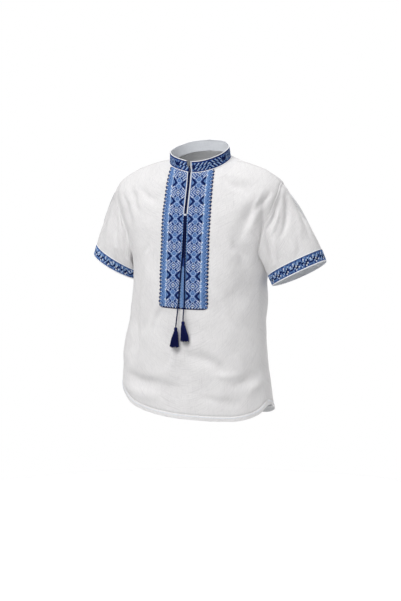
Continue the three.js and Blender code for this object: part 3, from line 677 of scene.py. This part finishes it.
# Embroidery thread, two shades of each for the uneven lie of the yarn; w is the white thread.
threadShades = {
    "k": ((0.003, 0.009, 0.065), (0.005, 0.013, 0.085)),
    "d": ((0.022, 0.056, 0.24), (0.03, 0.07, 0.28)),
    "m": ((0.1, 0.205, 0.47), (0.12, 0.235, 0.51)),
    "b": ((0.185, 0.335, 0.63), (0.215, 0.37, 0.67)),
    "l": ((0.43, 0.6, 0.86), (0.49, 0.65, 0.9)),
    "w": ((0.77, 0.85, 0.96), (0.82, 0.89, 0.97)),
}
letters = "kdmblw"
threadMaterials = []
for letter in letters:
    for n, shade in enumerate(threadShades[letter]):
        thread = bpy.data.materials.new("thread_" + letter + str(n + 1))
        thread.use_nodes = True
        setSockets(thread.node_tree.nodes["Principled BSDF"],
                   {"Base Color": (*shade, 1), "Roughness": 0.62, "Specular IOR Level": 0.08})
        threadMaterials.append(thread)
whiteThread = threadMaterials[2 * letters.index("w")]

# Lengths in a stitch are shares of its cell, apart from rise, which is in millimetres.
stitch = {"bar": (1.22, 0.42, 0.26), "ridge": 0.72, "turns": (45, -45), "over": 0.09, "rise": 1.95,
          "wander": 0.03, "uneven": (0.85, 1.15)}


# One cross stitch on a cell 1 wide: two raised bars, the upper one over the lower.
def makeStitch():
    long, wide, tall = stitch["bar"]

    def ridge():
        bpy.ops.transform.resize(value=(stitch["ridge"], 0.0, 1))
        bpy.ops.mesh.select_all(action="SELECT")
        bpy.ops.mesh.remove_doubles(threshold=0.001)
        bpy.ops.mesh.select_all(action="DESELECT")

    bars = []
    for n, turn in enumerate(stitch["turns"]):
        bpy.ops.object.select_all(action="DESELECT")
        bpy.ops.mesh.primitive_cube_add(size=1, location=(0, 0, 0))
        bar = bpy.context.object
        mesh = bar.data
        pickFaces(mesh, [face.normal.z > 0.5 for face in mesh.polygons])
        editing(ridge)
        pickFaces(mesh, [face.normal.z < -0.5 for face in mesh.polygons])
        editing(lambda: bpy.ops.mesh.delete(type="ONLY_FACE"))
        c, s = math.cos(math.radians(turn)), math.sin(math.radians(turn))
        for vertex in mesh.vertices:
            x, y, z = vertex.co.x * long, vertex.co.y * wide, (vertex.co.z + 0.5) * tall + n * stitch["over"]
            vertex.co = (x * c - y * s, x * s + y * c, z)
        bars.append(bar)
    takeUp(*bars)
    bpy.ops.object.join()
    corners = np.array([vertex.co[:] for vertex in bars[0].data.vertices])
    faces = [list(face.vertices) for face in bars[0].data.polygons]
    bpy.data.objects.remove(bars[0])
    return corners, faces


stitchCorners, stitchFaces = makeStitch()


# Copies of one small shape, each on its own place with its own across, down and out directions.
def copyShape(name, corners, faces, places, across, down, out, slots, materials):
    count = len(places)
    points = (places[:, None] + corners[None, :, 0:1] * across[:, None] + corners[None, :, 1:2] * down[:, None]
              + corners[None, :, 2:3] * out[:, None]) * mm
    size = len(corners)
    loops = np.concatenate([np.array(face) for face in faces])
    lengths = np.array([len(face) for face in faces])
    mesh = bpy.data.meshes.new(name)
    mesh.vertices.add(count * size)
    mesh.vertices.foreach_set("co", points.ravel())
    mesh.loops.add(count * len(loops))
    mesh.loops.foreach_set("vertex_index", (loops[None, :] + size * np.arange(count)[:, None]).ravel())
    mesh.polygons.add(count * len(faces))
    starts = np.concatenate([[0], np.cumsum(lengths)[:-1]])
    mesh.polygons.foreach_set("loop_start", (starts[None, :] + len(loops) * np.arange(count)[:, None]).ravel())
    for material in materials:
        mesh.materials.append(material)
    mesh.polygons.foreach_set("material_index", np.repeat(slots, len(faces)))
    mesh.update(calc_edges=True)
    mesh.validate()
    piece = bpy.data.objects.new(name, mesh)
    bpy.context.collection.objects.link(piece)
    return piece


# Stitches on a grid of cell corners; chart holds one letter a cell, or a space for none.
def embroider(name, corners, chart):
    middle = (corners[:-1, :-1] + corners[1:, :-1] + corners[:-1, 1:] + corners[1:, 1:]) / 4
    across = (corners[:-1, 1:] + corners[1:, 1:] - corners[:-1, :-1] - corners[1:, :-1]) / 2
    down = (corners[:-1, :-1] + corners[:-1, 1:] - corners[1:, :-1] - corners[1:, 1:]) / 2
    out = unit(np.cross(across, down))
    there = chart != " "
    shade = np.array([letters.find(letter) * 2 for letter in chart[there]])
    shade = shade + chance.integers(0, 2, len(shade))
    wander = chance.normal(0, stitch["wander"], (len(shade), 2))
    a, d, n = across[there], down[there], out[there]
    places = middle[there] + a * wander[:, :1] + d * wander[:, 1:]
    high = (stitch["rise"] * chance.uniform(*stitch["uneven"], len(shade)))[:, None]
    return copyShape(name, stitchCorners, stitchFaces, places, a, d, n * high, shade, threadMaterials)


# A row of short stitches along a line on the cloth.
def runStitches(name, line, normals, pitch, size):
    lengths = lineLengths(line)
    want = np.arange(pitch, lengths[-1] - pitch, pitch)
    places = pointsAt(want, lengths, line)
    out = unit(pointsAt(want, lengths, normals))
    way = unit(pointsAt(want, lengths, np.gradient(line, axis=0)))
    count = len(stitchCorners) // 2
    half = [face for face in stitchFaces if max(face) < count]
    bar = stitchCorners[:count]
    a = math.radians(stitch["turns"][1])
    turned = np.stack([bar[:, 0] * math.cos(a) - bar[:, 1] * math.sin(a),
                       bar[:, 0] * math.sin(a) + bar[:, 1] * math.cos(a), bar[:, 2]], -1)
    run = copyShape(name, turned, half, places, way * size, np.cross(out, way) * size, out * size,
                    np.zeros(len(places), int), [whiteThread])
    trims.append((run, "white_cloth"))


plastron = {"cell": 1.95, "columns": 35, "half": 69, "shift": 2.2, "out": 0.85, "wall": 0.5, "gap": 0.12,
            "chevron": 17, "repeat": 26, "cornerCells": 7}
# A quarter of the repeat, from the arrow heads to the middle of a diamond; mirrored both ways.
plastronChart = ["mmbdkkkdlm", "mbmkkkdbll", "mmkkkdmlmm", "mkkkdmlbmm", "kkkdmmlmmb", "kkdmwdlmbm",
                 "kdwwmddlmm", "dwwmmdkdlm", "wdmmwmdkml", "wmdwmmdmwk", "mdwmmdwmmd", "dwmmdwmmdw",
                 "wmmdwmmdwl", "mmdwmmdwkk"]
# The toothed edge, five rows high, from the outside in.
toothChart = ["   wbk", " kkbbd", "kkbbdb", "kkbdbb", " kkdbb"]


# The thread of one cell: up counts rows from the foot, column counts cells from the outer edge.
def plastronLetter(up, column, v):
    corner = plastron["cornerCells"]
    if up < corner and column < corner:
        if math.hypot(corner - up - 0.5, corner - column - 0.5) > corner + 0.2:
            return " "
    if up < 2:    # the foot's dark edge
        return "w" if up == 1 and column % 4 == 1 else "k"
    if column < 6:
        return toothChart[up % 5][column]
    if column < 9:
        return "b" if (up + column) % 2 or column > 7 else "m"
    place = (up - plastron["chevron"]) % plastron["repeat"]
    row = min(place, plastron["repeat"] - place)
    if column in (9, 10):
        return "w" if row in (6, 7, 12) else ("l" if column == 10 else "b")
    # Beside the middle, the k stitches from the slit's foot down, and the d stitches below them, are a painted
    # shadow of the two cords.
    if column > 32:    # beside the middle
        if slitFoot < v < (0.41 if column == 34 else 0.36):
            return "k"
        return "d" if v < 0.45 else "b"
    if column > 30:
        return "l" if column == 32 and up % 4 < 2 else "m"
    inner = column - 11
    return plastronChart[row][min(inner, 19 - inner)]


def plastronCorners(sign):
    # rows of equal length down the middle of the half
    v = np.linspace(0, plastronFoot, 400)
    lengths = lineLengths(formPoint(v, sign * 20.0))
    count = int(round(lengths[-1] / plastron["cell"]))
    rows = np.interp(np.linspace(0, lengths[-1], count + 1), lengths, v)
    steps = plastron["half"] - plastron["cell"] * np.arange(plastron["columns"] + 1)
    angles = []
    for place in rows:
        slit = along(slitLine, place, "middle")
        edge = slit + sign * (along(slitLine, place, "half") if place < slitFoot else plastron["gap"])
        s = sign * steps + plastron["shift"] + (slit - plastron["shift"]) * (1 - steps / plastron["half"])
        s = np.maximum(s, edge) if sign > 0 else np.minimum(s, edge)
        if place >= slitFoot:
            s[-1] = edge
        angles.append(ringAngles(place, s))
    return bodyPoint(rows[:, None], np.array(angles), plastron["out"])[:, ::-sign], rows


def makePlastron(side, sign):
    grid, rows = plastronCorners(sign)
    count = len(rows) - 1
    columns = range(plastron["columns"])
    chart = np.array([[plastronLetter(count - 1 - i, c, rows[i]) for c in columns] for i in range(count)])
    # beside the slit the band leaves out one cell, and its stitches three
    stitched, besideSlit = chart.copy(), rows[:-1] < slitFoot
    chart[besideSlit, -1:] = " "
    stitched[besideSlit, -3:] = " "
    ground = layOut("plastronGround_" + side, grid, keep=(chart != " ")[:, ::-sign])
    thicken(ground, plastron["wall"], groundLook, liningLook)
    return ground, embroider("plastronStitches_" + side, grid, stitched[:, ::-sign])


# each half and its stitches
plastrons = {side: makePlastron(side, sign) for side, sign in bothSides.items()}
print("plastron embroidered")


# The stand collar: from its foot to its top it grows narrower, is tucked in behind and leans aside.
collar = {"wide": 82, "front": 72, "back": 66, "height": 28, "narrower": 2, "tuck": 2.5, "aside": 1.5,
          "wall": 1.7, "cells": 14, "round": 236, "first": 7.2, "last": 360.4, "slant": 4}


def collarAt(angle, tall, out):
    s, c = np.sin(np.radians(angle)), np.cos(np.radians(angle))
    wide = collar["wide"] - collar["narrower"] * tall + out
    deep = np.where(c > 0, collar["front"], collar["back"]) - collar["tuck"] * tall * (0.5 - 0.5 * c) + out
    z = along(neckLine, angle, "z") + tall * collar["height"]
    return np.stack([wide * s - collar["aside"] * tall, -deep * c, z + 0 * s], -1)


def collarPoint(share, tall, out):
    # share runs from the wearer's left end, behind the neck, to the wearer's right end
    last = collar["last"] - collar["slant"] * smooth(tall * 1.4 - 0.2)
    turn = collar["first"] + (last - collar["first"]) * share
    return collarAt(np.where(turn > 180, turn - 360, turn), tall, out)


# Dark edges, and between them leaves that meet every 44 cells.
def collarLetter(row, column):
    if row in (0, 13):
        return "k"
    if row in (1, 12):
        return "d"
    leaf = column % 44
    leaf = leaf if leaf < 22 else 43 - leaf
    if leaf < 3:
        return "k" if abs(row - 6.5) - leaf * 1.5 < 2 else "m"
    step = (leaf + row + (3 if row > 6 else 0)) % 5
    if row == 6:
        return "b" if step == 0 else "k"
    if step == 0:
        return "w" if (column + row * 3) % 7 == 0 else "l"
    return "bdkk"[step - 1]


def makeCollar():
    tall = np.linspace(1, 0.02, collar["cells"] + 1)[:, None]
    share = np.linspace(0, 1, collar["round"] + 1)[None, :]
    grid = collarPoint(share, tall, -0.35)
    # a worn collar is a little uneven
    wave = 0.5 * np.sin(share * 17) * tall + 0.35 * np.sin(share * 41 + 1)
    grid = grid + unit(grid * np.array([1, 1, 0])) * wave[..., None]
    band = layOut("collarBand", grid)
    thicken(band, collar["wall"], groundLook, liningLook)
    chart = np.array([[collarLetter(r, c) for c in range(collar["round"])] for r in range(collar["cells"])])
    return band, embroider("collarStitches", grid, chart)


collarBand, collarStitches = makeCollar()
print("collar made")


cuff = {"wall": 1.3, "out": 0.15, "cells": 15, "round": 216}
# Each letter here is a block of two stitches by two.
cuffChart = ["dmmdmmmdmbmdmm", "mwbmlmbdwmmlbd", "dlkblkkmldlkbw", "lkkwkdmkkbkkdl", "kdlkkwbdlkkwdk",
             "mbdwmbdlmdwdbm", "dmdmmdmdmdmmdd"]


def cuffLetter(row, column):
    if row == 0:
        return "k"
    return cuffChart[(row - 1) // 2][column // 2 % 14]


def makeCuff(side, band):
    grid = np.array([evenLine(ring, cuff["round"]) for ring in band])
    join = grid[:, 1:2] - grid[:, -2:-1]
    around = np.concatenate([join, grid[:, 2:] - grid[:, :-2], join], 1)
    out = unit(np.cross(np.gradient(grid, axis=0), around))
    if ((grid - grid.mean((0, 1))) * out).sum() < 0:
        out = -out
    grid = grid + out * cuff["out"]
    ground = layOut("cuffBand_" + side, grid, closed=True)
    thicken(ground, cuff["wall"], groundLook, liningLook)
    chart = np.array([[cuffLetter(r, c) for c in range(cuff["round"])] for r in range(cuff["cells"])])
    return ground, embroider("cuffStitches_" + side, grid, chart), grid, out


# each band, its stitches, its grid and the way out of it
cuffs = {side: makeCuff(side, sleeves[side][1]) for side in bothSides}
print("cuffs made")


# Seams and pipings: how wide and high each is, and how far off the form it lies.
trim = {"slit": (3.5, 1.7), "slitOut": 1.75, "slitGap": 0.15, "collarEnd": (3.0, 2.2), "collarTop": (2.3, 2.6),
        "collarFoot": (2.2, 1.6), "cuffLow": (2.8, 1.6), "cuffTop": (2.3, 1.6), "cuffOut": 0.5,
        "shoulder": (6, 0.8), "side": (5.0, 0.8), "armhole": (4.6, 2.0), "armholeIn": 0.35, "seamOut": 0.1,
        "hemUp": 9, "hemPitch": 3.2, "hemStitch": 2.0, "round": 10}


def slitPiping(side, sign):
    v = np.linspace(0, 0.192, 70)
    beside = along(slitLine, v, "half") + trim["slitGap"] + trim["slit"][0] / 2
    s = along(slitLine, v, "middle") + sign * beside
    angles = np.array([ringAngles(place, np.array([at]))[0] for place, at in zip(v, s)])
    line = bodyPoint(v, angles, trim["slitOut"] + 0.15 * np.sin(v * 300))
    return strip("slitPiping_" + side, line, formNormal(v, angles), *trim["slit"], pipingLook, trim["round"])


slitPipings = {side: slitPiping(side, sign) for side, sign in bothSides.items()}

# the left piping goes on up the collar's end
endLine = collarAt(np.full(20, 5.75), np.linspace(-0.04, 1.06, 20), 0.2)
endOut = np.tile([0.08, -1, 0.0], (20, 1))
strip("collarEndPiping", endLine, endOut, *trim["collarEnd"], pipingLook, trim["round"])

share = np.linspace(0, 1, 200)
topLine = collarPoint(share, np.full(200, 1 + 0.75 / collar["height"]), -1.1)
topOut = topLine * np.array([1, 1, 0])
collarPiping = strip("collarPiping", topLine, topOut, *trim["collarTop"], edgingLook, trim["round"])
footLine = collarPoint(share, np.full(200, 0.02), 0.55)
strip("collarFootPiping", footLine, topOut, *trim["collarFoot"], edgingLook)

for side in bothSides:
    for place, row in (("Low", -1), ("Top", 0)):
        grid, out = cuffs[side][2][row], cuffs[side][3][row]
        strip("cuff" + place + "Piping_" + side, grid + out * trim["cuffOut"], out, *trim["cuff" + place],
              edgingLook, closed=True)


def bodySeam(name, v, angles, size):
    strip(name, bodyPoint(v, angles, trim["seamOut"]), formNormal(v, angles), *size, clothLook)


for side, sign in bothSides.items():
    bodySeam("shoulderSeam_" + side, np.linspace(0.012, shoulder - 0.004, 60), np.full(60, 90.0 * sign),
             trim["shoulder"])
    v = np.linspace(underarm + 0.012, 0.992, 120)
    bodySeam("sideSeam_" + side, v, sign * sideAngle(v, "front"), trim["side"])
print("seams and pipings laid on")


# Stitches along a line at one height above the hem's edge.
def hemRun(name, points, below):
    out = unit(np.cross(np.gradient(points, axis=0), np.gradient(points, axis=1)))
    line, normals = (np.array([pointsAt(trim["hemUp"], below[::-1, j], part[::-1, j])
                               for j in range(1, part.shape[1] - 1)]) for part in (points, out))
    runStitches(name, line + normals * trim["seamOut"], normals, trim["hemPitch"], trim["hemStitch"])


hemRun("hemStitches_front", frontPoints, frontBelow)
hemRun("hemStitches_back", backPoints, backBelow)
for side, sign in bothSides.items():
    seam = sleeves[side][2]
    outside = unit(np.cross(gradient(seam, True), np.tile([float(sign), 0, -0.3], (len(seam), 1))))
    outside *= np.sign(((seam - seam[:-1].mean(0)) * outside).sum(1, keepdims=True))
    strip("armholeSeam_" + side, seam - outside * trim["armholeIn"], outside, *trim["armhole"], clothLook,
          closed=True)
print("hem stitched")


# The point of the front at a distance from its middle and a height.
def frontPoint(s, z, out):
    low, high = 0.0, 1.0
    for _ in range(30):
        v = (low + high) / 2
        if formPoint(v, s * 0.6)[2] > z:
            low = v
        else:
            high = v
    wide = float(along(rings, low, "wide"))
    angle = math.degrees(math.asin(max(-1, min(1, s / wide))))
    return np.array([s, bodyPoint(low, angle, out)[1], z])


# The keeper arches over both pipings at the slit's foot.
keeperShape = {"z": -141.5, "half": 3.75, "foot": 1.5, "crown": 4.5, "wide": 4.6, "high": 0.95, "points": 19}


def makeKeeper():
    middle = float(along(slitLine, slitFoot, "middle"))
    turn = np.linspace(math.pi, 0, keeperShape["points"])
    s = keeperShape["half"] * np.sign(np.cos(turn)) * np.abs(np.cos(turn)) ** 0.6
    out = keeperShape["foot"] + keeperShape["crown"] * np.sin(turn) ** 0.7
    line = np.array([frontPoint(middle + a, keeperShape["z"], b) for a, b in zip(s, out)])
    normals = unit(np.cross(gradient(line, False), np.tile([0.0, 0, 1], (len(line), 1))))
    normals *= np.sign((normals * (line - line.mean(0) + np.array([0, 1.2, 0]))).sum(1, keepdims=True))
    return strip("keeper", line, normals, keeperShape["wide"], keeperShape["high"], pipingLook)


keeper = makeKeeper()

# Route of each cord: distance from the middle of the front, height, and distance in front of the cloth.
cordPaths = {
    "right": [(0.9, -17, -2.4), (1.7, -26, 1.2), (1.7, -38, 3.3), (1.6, -70, 3.4), (0.6, -105, 3.4),
              (-0.3, -141, 3.4), (-0.6, -165, 3.5), (-1.2, -210, 3.6), (-1.8, -250, 3.8), (-5, -310, 4),
              (-8.4, -370, 5), (-10.2, -412, 11.4), (-10.4, -424, 12.4)],
    "left": [(4.6, -24, -3), (4.7, -32, 0.4), (4.7, -41, 3.3), (4.6, -70, 3.4), (3.6, -105, 3.4),
             (2.7, -141, 3.4), (3, -165, 3.5), (4.4, -210, 3.6), (6.2, -250, 3.8), (7.4, -310, 4),
             (8.2, -370, 5), (8.6, -397, 9.8), (8.8, -408, 10.6)],
}
cord = {"radius": 1.7, "twist": 8.0, "step": 0.9, "sides": 12, "groove": 0.16}


# Centripetal curve through the stops.
def curveThrough(stops, each=24):
    points = []
    stops = [stops[0] * 2 - stops[1], *stops, stops[-1] * 2 - stops[-2]]
    for p0, p1, p2, p3 in zip(stops, stops[1:], stops[2:], stops[3:]):
        d0, d1, d2 = (np.linalg.norm(b - a) ** 0.5 for a, b in ((p0, p1), (p1, p2), (p2, p3)))
        m1 = ((p1 - p0) / d0 - (p2 - p0) / (d0 + d1) + (p2 - p1) / d1) * d1
        m2 = ((p2 - p1) / d1 - (p3 - p1) / (d1 + d2) + (p3 - p2) / d2) * d1
        points += [hermite(p1, m1, p2, m2, t) for t in np.linspace(0, 1, each, endpoint=False)]
    return np.array([*points, stops[-2]])


def makeCord(side):
    route = curveThrough([frontPoint(*stop) for stop in cordPaths[side]])
    line = evenLine(route, int(lineLengths(route)[-1] / cord["step"]))
    forward = unit(np.gradient(line, axis=0))
    across = unit(np.cross(forward, np.tile([0.0, 1, 0.02], (len(line), 1))))
    other = np.cross(forward, across)
    turns = np.linspace(0, math.tau, cord["sides"] + 1)
    twist = (np.arange(len(line)) * cord["step"] / cord["twist"] * math.tau)[:, None]
    strands = np.abs(np.cos(turns[None, :] - twist))
    radius = cord["radius"] * (1 - cord["groove"] + cord["groove"] * strands)[..., None]
    points = line[:, None] + radius * (across[:, None] * np.cos(turns)[None, :, None]
                                       + other[:, None] * np.sin(turns)[None, :, None])
    rope = layOut("cord_" + side + "_twisted", points, closed=True)
    editing(capEnds)
    rope.data.materials.append(cordLook)
    return rope, line


# Rings of strands: how many, and how far out they start and end. Hang is each tassel's lean and spread.
# Strands leave the binding below the neck and open over the fan. Head is its depth and radius.
tassel = {"length": 52, "neck": 9, "fan": 34, "flat": 0.45, "thick": 0.62, "stops": 10,
          "rings": ((1, 0.0, 0.0), (7, 0.9, 2.8), (14, 1.7, 5.6), (22, 2.5, 8.2), (30, 3.1, 10.6),
                    (36, 3.6, 12.6)),
          "hang": {"left": (4.5, 0.88), "right": (-4, 1)}, "seed": {"left": 7, "right": 11},
          "head": [(0.0, 0.4), (0.5, 2.2), (2, 3.9), (5, 4.4), (8, 4.1), (9.4, 3.5), (10.8, 3.6), (12.5, 4.5),
                   (15.5, 4.3)],
          "binding": (8.9, 9.8, 10.7), "bindRadius": 3.75, "bindThick": 0.55}


def strandLines(side):
    lean, opened = tassel["hang"][side]
    yarnChance = np.random.default_rng(tassel["seed"][side])
    places = np.linspace(0, 1, tassel["stops"])
    strands = []
    for n, (count, root, tip) in enumerate(tassel["rings"]):
        for k in range(count):
            turn = math.tau * (k + 0.5 * (n % 2) + yarnChance.uniform(-0.2, 0.2)) / count
            reach = tip * yarnChance.uniform(0.9, 1.04)
            bottom = tassel["length"] - 1.5 + yarnChance.uniform(-2.2, 1.4)
            z = tassel["neck"] + (bottom - tassel["neck"]) * places
            low = smooth((z - tassel["neck"]) / tassel["fan"])
            radius = root + (reach - root) * places ** 0.8
            wave = yarnChance.uniform(0, math.tau)
            x = radius * (1 + (opened - 1) * low) * math.cos(turn) + lean * low
            x = x + 0.5 * np.sin(places * 7 + wave) * low
            y = radius * (1 - tassel["flat"] * low) * math.sin(turn) + 0.3 * np.cos(places * 6 + wave) * low
            strands.append(np.stack([x, y, -z], -1))
    return np.array(strands), places


def makeStrands(side, top):
    strands, places = strandLines(side)
    strands = top + strands
    # each strand is a thin square yarn
    corners = np.array([[1, 0, 0], [0, 1, 0], [-1, 0, 0], [0, -1, 0]]) * tassel["thick"]
    size = 0.8 + 0.35 * places
    rods = strands[:, :, None] + corners[None, None] * size[None, :, None, None]
    stops, each = tassel["stops"], 4 * tassel["stops"]
    faces = []
    for i in range(stops - 1):
        for k in range(4):
            a, b = i * 4 + k, i * 4 + (k + 1) % 4
            faces.append([a + 4, b + 4, b, a])
    faces += [[0, 1, 2, 3], [each - 4, each - 1, each - 2, each - 3]]
    faces = np.array(faces)[None] + each * np.arange(len(strands))[:, None, None]
    mesh = bpy.data.meshes.new("tasselStrands_" + side)
    mesh.from_pydata((rods.reshape(-1, 3) * mm).tolist(), [], faces.reshape(-1, 4).tolist())
    bunch = bpy.data.objects.new("tasselStrands_" + side, mesh)
    bpy.context.collection.objects.link(bunch)
    takeUp(bunch)
    editing(faceOut)
    layer = mesh.uv_layers.new(name="UVMap")
    corner = np.empty(len(mesh.loops), int)
    mesh.loops.foreach_get("vertex_index", corner)
    strand, stop = corner // each, corner % each // 4
    layer.data.foreach_set("uv", np.stack([strand * 0.003 + corner % 4 * 0.0006, stop * 0.005], -1).ravel())
    mesh.materials.append(yarnLook)
    return bunch


def makeTassel(side, end):
    top = end - np.array([0, 0, 0.3])
    bunch = makeStrands(side, top)
    deep, wide = zip(*tassel["head"])
    z = np.linspace(0, deep[-1], 26)
    turns = np.linspace(0, math.tau, 33)
    ridged = np.interp(z, deep, wide)[:, None] * (1 + 0.035 * np.cos(turns * 16)[None, :])
    down = -z[:, None] + 0 * ridged
    points = top + np.stack([ridged * np.cos(turns), ridged * np.sin(turns) * 0.92, down], -1)
    knob = layOut("tasselHead_" + side, points, closed=True)
    editing(capEnds)
    knob.data.materials.append(yarnLook)
    wraps = []
    for z in tassel["binding"]:
        bpy.ops.object.select_all(action="DESELECT")
        bpy.ops.mesh.primitive_torus_add(location=(top - np.array([0, 0, z])) * mm, generate_uvs=True,
                                         major_radius=tassel["bindRadius"] * mm, major_segments=28,
                                         minor_radius=tassel["bindThick"] * mm, minor_segments=8)
        bpy.ops.object.transform_apply(location=True, rotation=True, scale=True)
        bpy.ops.object.shade_smooth()
        wraps.append(bpy.context.object)
    takeUp(*wraps)
    bpy.ops.object.join()
    wraps[0].name = "tasselBinding_" + side
    wraps[0].data.materials.append(cordLook)
    return bunch, knob, wraps[0]


# each cord and its route, and the strands, head and binding of each tassel
cords = {side: makeCord(side) for side in bothSides}
tassels = {side: makeTassel(side, cords[side][1][-1]) for side in bothSides}
print("cords and tassels hung")


# Floor and light. Paper and glow are the floor's white, air is the light all round.
studio = {"floor": -1.5, "across": 4.8, "paper": 0.86, "glow": 0.1, "air": 0.22}
# Each sun's way as seen by the camera (right, ahead and up), its spread in degrees and its power.
suns = {"keyLight": (-0.7, -0.72, 1.7, 50, 1.84), "fillLight": (0.95, -0.3, 0.4, 60, 0.62),
        "topLight": (-0.15, -0.15, 1, 80, 0.5), "backLight": (0.2, 1, 0.3, 60, 2.0)}
# A soft box near the chest, so the light falls off towards the hem.
softBox = {"right": -0.5, "ahead": -0.9, "up": 0.3, "aimed": -0.12, "size": 0.7, "power": 4.5}


def layFloor():
    bpy.ops.object.select_all(action="DESELECT")
    bpy.ops.mesh.primitive_circle_add(vertices=96, radius=studio["across"] / 2, fill_type="NGON")
    floor = bpy.context.object
    floor.name = "floor"
    for vertex in floor.data.vertices:
        vertex.co.z = studio["floor"]
    paper = bpy.data.materials.new("floorPaper")
    paper.use_nodes = True
    setSockets(paper.node_tree.nodes["Principled BSDF"],
               {"Base Color": (*[studio["paper"]] * 3, 1), "Roughness": 0.95, "Specular IOR Level": 0.1,
                "Emission Color": (1, 1, 1, 1), "Emission Strength": studio["glow"]})
    floor.data.materials.append(paper)


# White behind the shirt, a softer white all round it.
def makeWorld():
    world = bpy.data.worlds.new("studio")
    world.use_nodes = True
    nodes, links = world.node_tree.nodes, world.node_tree.links
    behind = nodes["Background"]
    setSockets(behind, {"Color": (1, 1, 1, 1), "Strength": 1.0})
    around = nodes.new("ShaderNodeBackground")
    setSockets(around, {"Color": (0.99, 0.99, 1, 1), "Strength": studio["air"]})
    ray = nodes.new("ShaderNodeLightPath")
    choose = nodes.new("ShaderNodeMixShader")
    links.new(ray.outputs["Is Camera Ray"], choose.inputs[0])
    links.new(around.outputs[0], choose.inputs[1])
    links.new(behind.outputs[0], choose.inputs[2])
    links.new(choose.outputs[0], nodes["World Output"].inputs["Surface"])
    bpy.context.scene.world = world


def hangLights():
    yaw = math.radians(camera["yaw"])
    right = Vector((math.cos(yaw), math.sin(yaw), 0))
    ahead = Vector((-math.sin(yaw), math.cos(yaw), 0))
    for name, (aside, onward, up, spreadAngle, power) in suns.items():
        way = right * aside + ahead * onward + Vector((0, 0, up))
        bpy.ops.object.light_add(type="SUN", location=way * 4)
        light = bpy.context.object
        light.name = name
        light.data.angle = math.radians(spreadAngle)
        light.data.energy = power
        light.rotation_euler = way.to_track_quat("Z", "Y").to_euler()
    place = ahead * softBox["ahead"] + right * softBox["right"] + Vector((0, 0, softBox["up"]))
    bpy.ops.object.light_add(type="AREA", location=place)
    box = bpy.context.object
    box.name = "chestLight"
    box.data.size = softBox["size"]
    box.data.energy = softBox["power"]
    box.rotation_euler = (place - Vector((0, 0, softBox["aimed"]))).to_track_quat("Z", "Y").to_euler()
    box.visible_camera = False


layFloor()
makeWorld()
hangLights()
bpy.context.scene.view_settings.view_transform = "Standard"
print("floor and lights set")


# Each piece hangs on the root, and the part that it stands for is hidden.
def standsFor(piece, node=None):
    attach(piece, "root")
    if node:
        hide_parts(node)


standsFor(front, "front")
standsFor(back, "back")
standsFor(collarBand, "collar")
standsFor(collarStitches)
for side in bothSides:
    standsFor(sleeves[side][0], "sleeve_" + side)
    standsFor(cuffs[side][0], "cuff_" + side)
    standsFor(cuffs[side][1])
    standsFor(plastrons[side][0], "plastron_" + side)
    standsFor(plastrons[side][1])
    standsFor(cords[side][0], "cord_" + side)
    strands, *bound = tassels[side]
    standsFor(strands, "tassel_" + side)
    for piece in bound:
        standsFor(piece)
replaced = {slitPipings["left"]: "slit_piping_left", slitPipings["right"]: "slit_piping_right",
            keeper: "keeper", collarPiping: "collar_piping"}
for piece, slot in trims:
    standsFor(piece, replaced.get(piece))

for side in bothSides:
    piece, route = cords[side]
    path = [tuple(float(c) * mm for c in point) for point in route[:: max(1, len(route) // 38)]]
    path.append(tuple(float(c) * mm for c in route[-1]))
